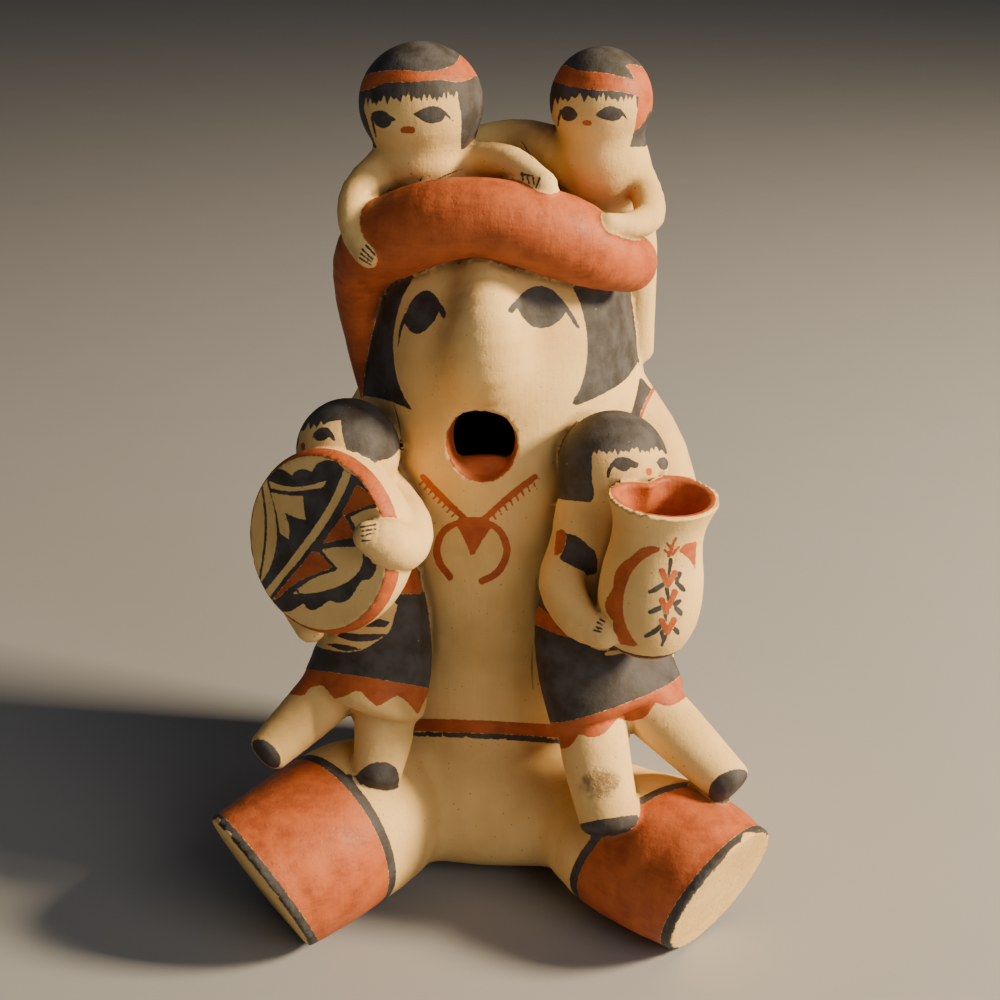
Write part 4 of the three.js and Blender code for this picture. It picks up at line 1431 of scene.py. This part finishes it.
def mark_flaws(canvas):
    """Fine cracks and a pitted patch."""
    front = canvas.front(np.full(len(canvas.points), FAR))
    for path in CRACKS:
        inside = stroke_distance(canvas.spots, np.array(path, float), CRACK_BRUSH) * canvas.scale
        canvas.crack = np.maximum(canvas.crack, np.minimum(inside, front))
    canvas.fine = np.minimum(canvas.fine, np.abs(canvas.crack))
    away = np.linalg.norm((canvas.spots - PITTED_AT) / PITTED_SIZES, axis=1)
    canvas.pitted = np.clip(PITTED_MOST * (1 - away), 0, 1) * (canvas.own("bearer.near_leg") > 0)


def paint_clay(points, lean):
    """Every painted layer at the given points of the skin."""
    canvas = Canvas(points, lean)
    paint_singer(canvas)
    paint_boots(canvas)
    canvas.lay("rust", canvas.own("roll"))
    paint_front_children(canvas)
    paint_crown_children(canvas)
    paint_drum(canvas)
    paint_jar(canvas)
    paint_limbs(canvas)
    paint_mouth(canvas)
    mark_flaws(canvas)
    inside = in_hollow(points)
    border = np.minimum(np.abs(canvas.dark), np.abs(canvas.rust))
    border[inside] = FAR
    canvas.fine[inside] = FAR
    painted = {name: getattr(canvas, name) for name in ("dark", "rust", "wear", "fine", "crack", "pitted")}
    # The inside layer marks the hollow's wall, which the material darkens to near black as painted shade
    return {**painted, "border": border, "inside": inside.astype(float)}


def shelter(points, normals):
    """How enclosed each point is, from the clay found a little way out from it; the material uses it to paint
    shade in crevices and between parts.
    """
    shares = [np.clip(1 - clay_distance(points + reach * normals) / reach, 0, 1) for reach in CREVICE_SHADE_REACHES]
    return sum(shares) / len(CREVICE_SHADE_REACHES)


# Materials

CREAM_LIGHT = (0.84, 0.595, 0.25)
CREAM_DEEP = (0.68, 0.455, 0.175)
CHARCOAL_LIGHT = (0.081, 0.081, 0.088)
CHARCOAL_DEEP = (0.040, 0.035, 0.031)
RUST_LIGHT = (0.50, 0.125, 0.037)
RUST_DEEP = (0.31, 0.066, 0.021)
# Brown for specks and pits, and also for the painted shade in crevices and between parts
GRIME_AND_SHADE = (0.16, 0.10, 0.055)
FLOOR_GREY = (0.32, 0.338, 0.368)
# Near-black painted shade for the wall of the body's hollow behind the mouth
HOLLOW_PAINTED_SHADE = (0.02, 0.015, 0.01)
FLOOR_MOTTLE = 0.94

# How far the edges of slip waver and blur, in millimetres, and what share of it chips take away
EDGE_WAVER = 0.55
EDGE_BLUR = 0.10
CRACK_WAVER = 0.4
DARK_BARED = 1.0
RUST_BARED = 0.8

# How fine the patterns are, in cells per millimetre
CLOUD_CELLS = 0.035
PATCH_CELLS = 0.16
STROKE_CELLS = 0.9
GRAIN_CELLS = 2.4
WAVER_CELLS = 0.9
CHIP_CELLS = 0.42
HOLLOW_CELLS = 0.35
FLECK_CELLS = 0.13
SPECK_CELLS = 0.33
CLUSTER_CELLS = 0.11
PIT_CELLS = 0.55
FLOOR_CELLS = 0.02

# How brush strokes are drawn out, and how large spots are as shares of their cells
UPRIGHT_STRETCH = (1.0, 1.0, 0.10)
LEVEL_STRETCH = (0.14, 0.5, 1.0)
FLECK_SIZE = 0.032
SPECK_MOST = 0.16
PIT_SIZE = 0.28

# How strongly the patterns colour the slips
CREAM_PATCHED = 0.35
CREAM_BRUSHED = 0.22
RUST_BRUSHED = 0.45
SPECKED = 0.5
FLECKED = 0.55
# How strongly painted shade darkens crevices and gaps between parts
CREVICE_SHADE_SHARE = 0.55
HOLLOW_GRIME = 0.75
CRACK_GRIME = 0.6

# How rough clay is, how much less rough slips are, and how tall each pattern stands
CLAY_ROUGH = (0.72, 0.9)
RUST_GLOSS = -0.24
DARK_GLOSS = -0.14
BUMP = 0.75
RELIEF = {
    "grain": 0.05, "pits": 0.06, "upright": 0.13, "level": 0.14, "patches": 0.35, "painted": 0.06,
    "hollows": -0.9, "crack": -0.6,
}


class Nodes:
    """Builds the node tree of one material."""

    def __init__(self, name):
        self.material = bpy.data.materials.new(name)
        self.material.use_nodes = True
        self.tree = self.material.node_tree
        self.tree.nodes.clear()

    def fed(self, kind, inputs, **settings):
        """A node with its settings and inputs."""
        node = self.tree.nodes.new(kind)
        for name, value in settings.items():
            setattr(node, name, value)
        for name, value in inputs.items():
            self.feed(node.inputs[name], value)
        return node

    def feed(self, socket, value):
        """Links an output to a socket, or sets the socket's own value."""
        if isinstance(value, bpy.types.NodeSocket):
            self.tree.links.new(value, socket)
        elif isinstance(value, tuple) and len(value) == 3 and socket.type == "RGBA":
            socket.default_value = (*value, 1.0)
        else:
            socket.default_value = value

    def math(self, operation, first, second):
        """One arithmetic step."""
        return self.fed("ShaderNodeMath", {0: first, 1: second}, operation=operation).outputs[0]

    def times(self, first, second):
        """A product."""
        return self.math("MULTIPLY", first, second)

    def add_up(self, total, *parts):
        """A total with shares of further values added to it."""
        for value, share in parts:
            total = self.math("ADD", total, self.times(value, share))
        return total

    def mix(self, share, first, second):
        """One colour mixed into another."""
        inputs = {"Factor": share, "A": first, "B": second}
        return self.fed("ShaderNodeMix", inputs, data_type="RGBA").outputs["Result"]

    def tint(self, colour, other, pattern, share):
        """A colour with a share of another mixed in where a pattern is strong."""
        return self.mix(self.times(pattern, share), colour, other)

    def steps(self, value, low, high, start=0.0, stop=1.0):
        """A smooth change from one value to another over a range."""
        inputs = dict(enumerate((value, low, high, start, stop)))
        return self.fed("ShaderNodeMapRange", inputs, interpolation_type="SMOOTHSTEP").outputs[0]

    def attribute(self, name):
        """A value that is kept at each point of the mesh."""
        return self.fed("ShaderNodeAttribute", {}, attribute_name=name).outputs["Fac"]

    def place(self):
        """Coordinates on the piece in millimetres."""
        return self.stretched(self.fed("ShaderNodeTexCoord", {}).outputs["Object"], (1 / MM, 1 / MM, 1 / MM))

    def stretched(self, place, scale):
        """Coordinates drawn out along some axes."""
        return self.fed("ShaderNodeVectorMath", {0: place, 1: scale}, operation="MULTIPLY").outputs[0]

    def noise(self, place, scale, detail=3.0, rough=0.55):
        """Cloudy noise between nought and one."""
        inputs = {"Vector": place, "Scale": scale, "Detail": detail, "Roughness": rough}
        return self.fed("ShaderNodeTexNoise", inputs).outputs["Fac"]

    def spots(self, place, scale):
        """The distance to the nearest of many scattered points."""
        return self.fed("ShaderNodeTexVoronoi", {"Vector": place, "Scale": scale}).outputs["Distance"]

    def finish(self, inputs):
        """Closes the tree with its surface, and gives the material."""
        surface = self.fed("ShaderNodeBsdfPrincipled", inputs).outputs["BSDF"]
        self.fed("ShaderNodeOutputMaterial", {"Surface": surface})
        return self.material


def clay_patterns(n, place):
    """Patterns of brushed, speckled clay, by name."""
    clusters = n.times(n.noise(place, CLUSTER_CELLS, 2.0), SPECK_MOST)
    return {
        "upright": n.noise(n.stretched(place, UPRIGHT_STRETCH), STROKE_CELLS, 4.0),
        "level": n.noise(n.stretched(place, LEVEL_STRETCH), STROKE_CELLS, 4.0),
        "clouds": n.noise(place, CLOUD_CELLS),
        "patches": n.noise(place, PATCH_CELLS, 4.0),
        "grain": n.noise(place, GRAIN_CELLS),
        "flecks": n.math("LESS_THAN", n.spots(place, FLECK_CELLS), FLECK_SIZE),
        "specks": n.math("LESS_THAN", n.spots(place, SPECK_CELLS), clusters),
        "pits": n.steps(n.spots(place, PIT_CELLS), 0.0, PIT_SIZE),
    }


def clay_damage(n, place, waver):
    """Where slip is chipped, where the clay is cracked and where it is pitted."""
    chips = n.times(n.noise(place, CHIP_CELLS, 4.0), n.attribute("wear"))
    crack = n.add_up(n.attribute("crack"), (waver, CRACK_WAVER))
    hollows = n.times(n.noise(place, HOLLOW_CELLS, 6.0, 0.7), n.attribute("pitted"))
    return n.steps(chips, 0.66, 0.70), n.steps(crack, -0.12, 0.10), n.steps(hollows, 0.20, 0.55)


def slip_cover(n, name, waver, chips, bared):
    """How fully a slip covers the clay: its edge wavers, and chips bare a share of it."""
    edge = n.math("ADD", n.attribute(name), waver)
    return n.times(n.steps(edge, -EDGE_BLUR, EDGE_BLUR), n.add_up(1.0, (chips, -bared)))


def slip_colours(n, clay):
    """The cream, rust and charcoal slips, each uneven in its own way."""
    cream = n.mix(n.steps(clay["clouds"], 0.35, 0.65), CREAM_DEEP, CREAM_LIGHT)
    cream = n.tint(cream, CREAM_LIGHT, n.steps(clay["patches"], 0.4, 0.75), CREAM_PATCHED)
    cream = n.tint(cream, CREAM_DEEP, n.steps(clay["upright"], 0.3, 0.75), CREAM_BRUSHED)
    cream = n.tint(cream, GRIME_AND_SHADE, clay["specks"], SPECKED)
    rusty = n.mix(n.steps(clay["patches"], 0.25, 0.75), RUST_DEEP, RUST_LIGHT)
    rusty = n.tint(rusty, RUST_LIGHT, n.steps(clay["level"], 0.35, 0.7), RUST_BRUSHED)
    rusty = n.tint(rusty, RUST_DEEP, clay["specks"], SPECKED)
    charcoal = n.mix(n.steps(clay["patches"], 0.3, 0.7), CHARCOAL_DEEP, CHARCOAL_LIGHT)
    charcoal = n.tint(charcoal, CREAM_DEEP, clay["flecks"], FLECKED)
    return cream, rusty, charcoal


def clay_material():
    """Cream, charcoal and rust slips, brushed over hand-smoothed clay, with painted shade in crevices and on
    the wall of the body's hollow.
    """
    n = Nodes("slipped_clay")
    place = n.place()
    clay = clay_patterns(n, place)
    waver = n.times(n.math("SUBTRACT", n.noise(place, WAVER_CELLS), 0.5), EDGE_WAVER)
    chips, crack, hollows = clay_damage(n, place, waver)
    dark = slip_cover(n, "dark", waver, chips, DARK_BARED)
    rust = slip_cover(n, "rust", waver, chips, RUST_BARED)

    cream, rusty, charcoal = slip_colours(n, clay)
    colour = n.mix(dark, n.mix(rust, cream, rusty), charcoal)
    # Painted shade: enclosed points in crevices and between parts are darkened towards brown
    colour = n.tint(colour, GRIME_AND_SHADE, n.steps(n.attribute("shelter"), 0.42, 0.9), CREVICE_SHADE_SHARE)
    colour = n.tint(colour, GRIME_AND_SHADE, hollows, HOLLOW_GRIME)
    colour = n.tint(colour, CHARCOAL_DEEP, crack, CRACK_GRIME)
    # Painted shade: the wall of the body's hollow is darkened to near black
    colour = n.mix(n.attribute("inside"), colour, HOLLOW_PAINTED_SHADE)

    rough = n.add_up(n.steps(clay["patches"], 0.2, 0.8, *CLAY_ROUGH), (rust, RUST_GLOSS), (dark, DARK_GLOSS))
    forms = {**clay, "painted": n.math("MAXIMUM", dark, rust), "hollows": hollows, "crack": crack}
    height = n.add_up(0.0, *[(forms[name], tall) for name, tall in RELIEF.items()])
    bump = n.fed("ShaderNodeBump", {"Strength": BUMP, "Distance": MM, "Height": height}).outputs["Normal"]
    return n.finish({"Base Color": colour, "Roughness": rough, "Specular IOR Level": 0.3, "Normal": bump})


def floor_material():
    """A plain pale floor with a faint grain."""
    n = Nodes("floor_paint")
    mottle = n.noise(n.place(), FLOOR_CELLS)
    darker = tuple(FLOOR_MOTTLE * part for part in FLOOR_GREY)
    return n.finish({"Base Color": n.mix(mottle, darker, FLOOR_GREY), "Roughness": 0.85})


# The pieces and the stage

FLOOR_HALF = 3.0
LAMP_AIM = Vector((0.0, 0.0, 0.11))
SKY = (0.86, 0.88, 0.92, 1.0)
SKY_STRENGTH = 0.075


def clay_piece():
    """The whole figure as one mesh with its painting kept at its points."""
    points, triangles = coarsen_hollow(*grid_surface())
    points, triangles, painted = refine(points, triangles, paint_clay)
    mesh = bpy.data.meshes.new("storyteller_clay")
    mesh.from_pydata((points * MM).tolist(), [], triangles.tolist())
    mesh.update()
    # Two of these layers carry painted shade: how enclosed a point is, and whether it lies on the hollow's
    # wall
    for name in ("dark", "rust", "crack", "wear", "pitted", "shelter", "inside"):
        layer = mesh.attributes.new(name, "FLOAT", "POINT")
        layer.data.foreach_set("value", painted[name].astype(np.float32))
    mesh.polygons.foreach_set("use_smooth", np.ones(len(triangles), bool))
    mesh.normals_split_custom_set_from_vertices(painted["normals"].tolist())
    mesh.materials.append(clay_material())
    piece = bpy.data.objects.new("storyteller_clay", mesh)
    bpy.context.scene.collection.objects.link(piece)
    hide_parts("storyteller")
    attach(piece, "root")
    return piece


def stage_floor():
    """A broad plain floor."""
    mesh = bpy.data.meshes.new("floor")
    corners = [(x * FLOOR_HALF, y * FLOOR_HALF, 0) for x, y in ((-1, -1), (1, -1), (1, 1), (-1, 1))]
    mesh.from_pydata(corners, [], [(0, 1, 2, 3)])
    mesh.materials.append(floor_material())
    floor = bpy.data.objects.new("floor", mesh)
    bpy.context.scene.collection.objects.link(floor)


def lamp(name, turn, lift, away, size, power, colour):
    """A square lamp that points at the figure."""
    data = bpy.data.lights.new(name, "AREA")
    data.size = size
    data.energy = power
    data.color = colour
    thing = bpy.data.objects.new(name, data)
    thing.location = LAMP_AIM + Vector(direction(turn, lift)) * away
    thing.rotation_euler = (LAMP_AIM - thing.location).to_track_quat("-Z", "Y").to_euler()
    bpy.context.scene.collection.objects.link(thing)


def lights():
    """A warm key from the right, a soft fill from the left and a pale sky."""
    lamp("key", turn=84.0, lift=29.0, away=1.5, size=0.3, power=72.0, colour=(1.0, 0.76, 0.47))
    lamp("fill", turn=42.0, lift=30.0, away=1.8, size=1.0, power=10.0, colour=(1.0, 0.88, 0.74))
    world = bpy.data.worlds.new("studio")
    world.use_nodes = True
    sky = world.node_tree.nodes["Background"].inputs
    sky["Color"].default_value = SKY
    sky["Strength"].default_value = SKY_STRENGTH
    bpy.context.scene.world = world


def camera():
    """The photograph's camera."""
    data = bpy.data.cameras.new("camera")
    data.sensor_width = SENSOR_MM
    data.lens = FOCAL / FRAME_PIXELS * SENSOR_MM
    thing = bpy.data.objects.new("camera", data)
    axes = Matrix(np.column_stack([RIGHT, UP, BACK]).tolist())
    thing.matrix_world = Matrix.Translation(Vector(EYE * MM)) @ axes.to_4x4()
    bpy.context.scene.collection.objects.link(thing)
    bpy.context.scene.camera = thing


camera()
lights()
stage_floor()
clay_piece()
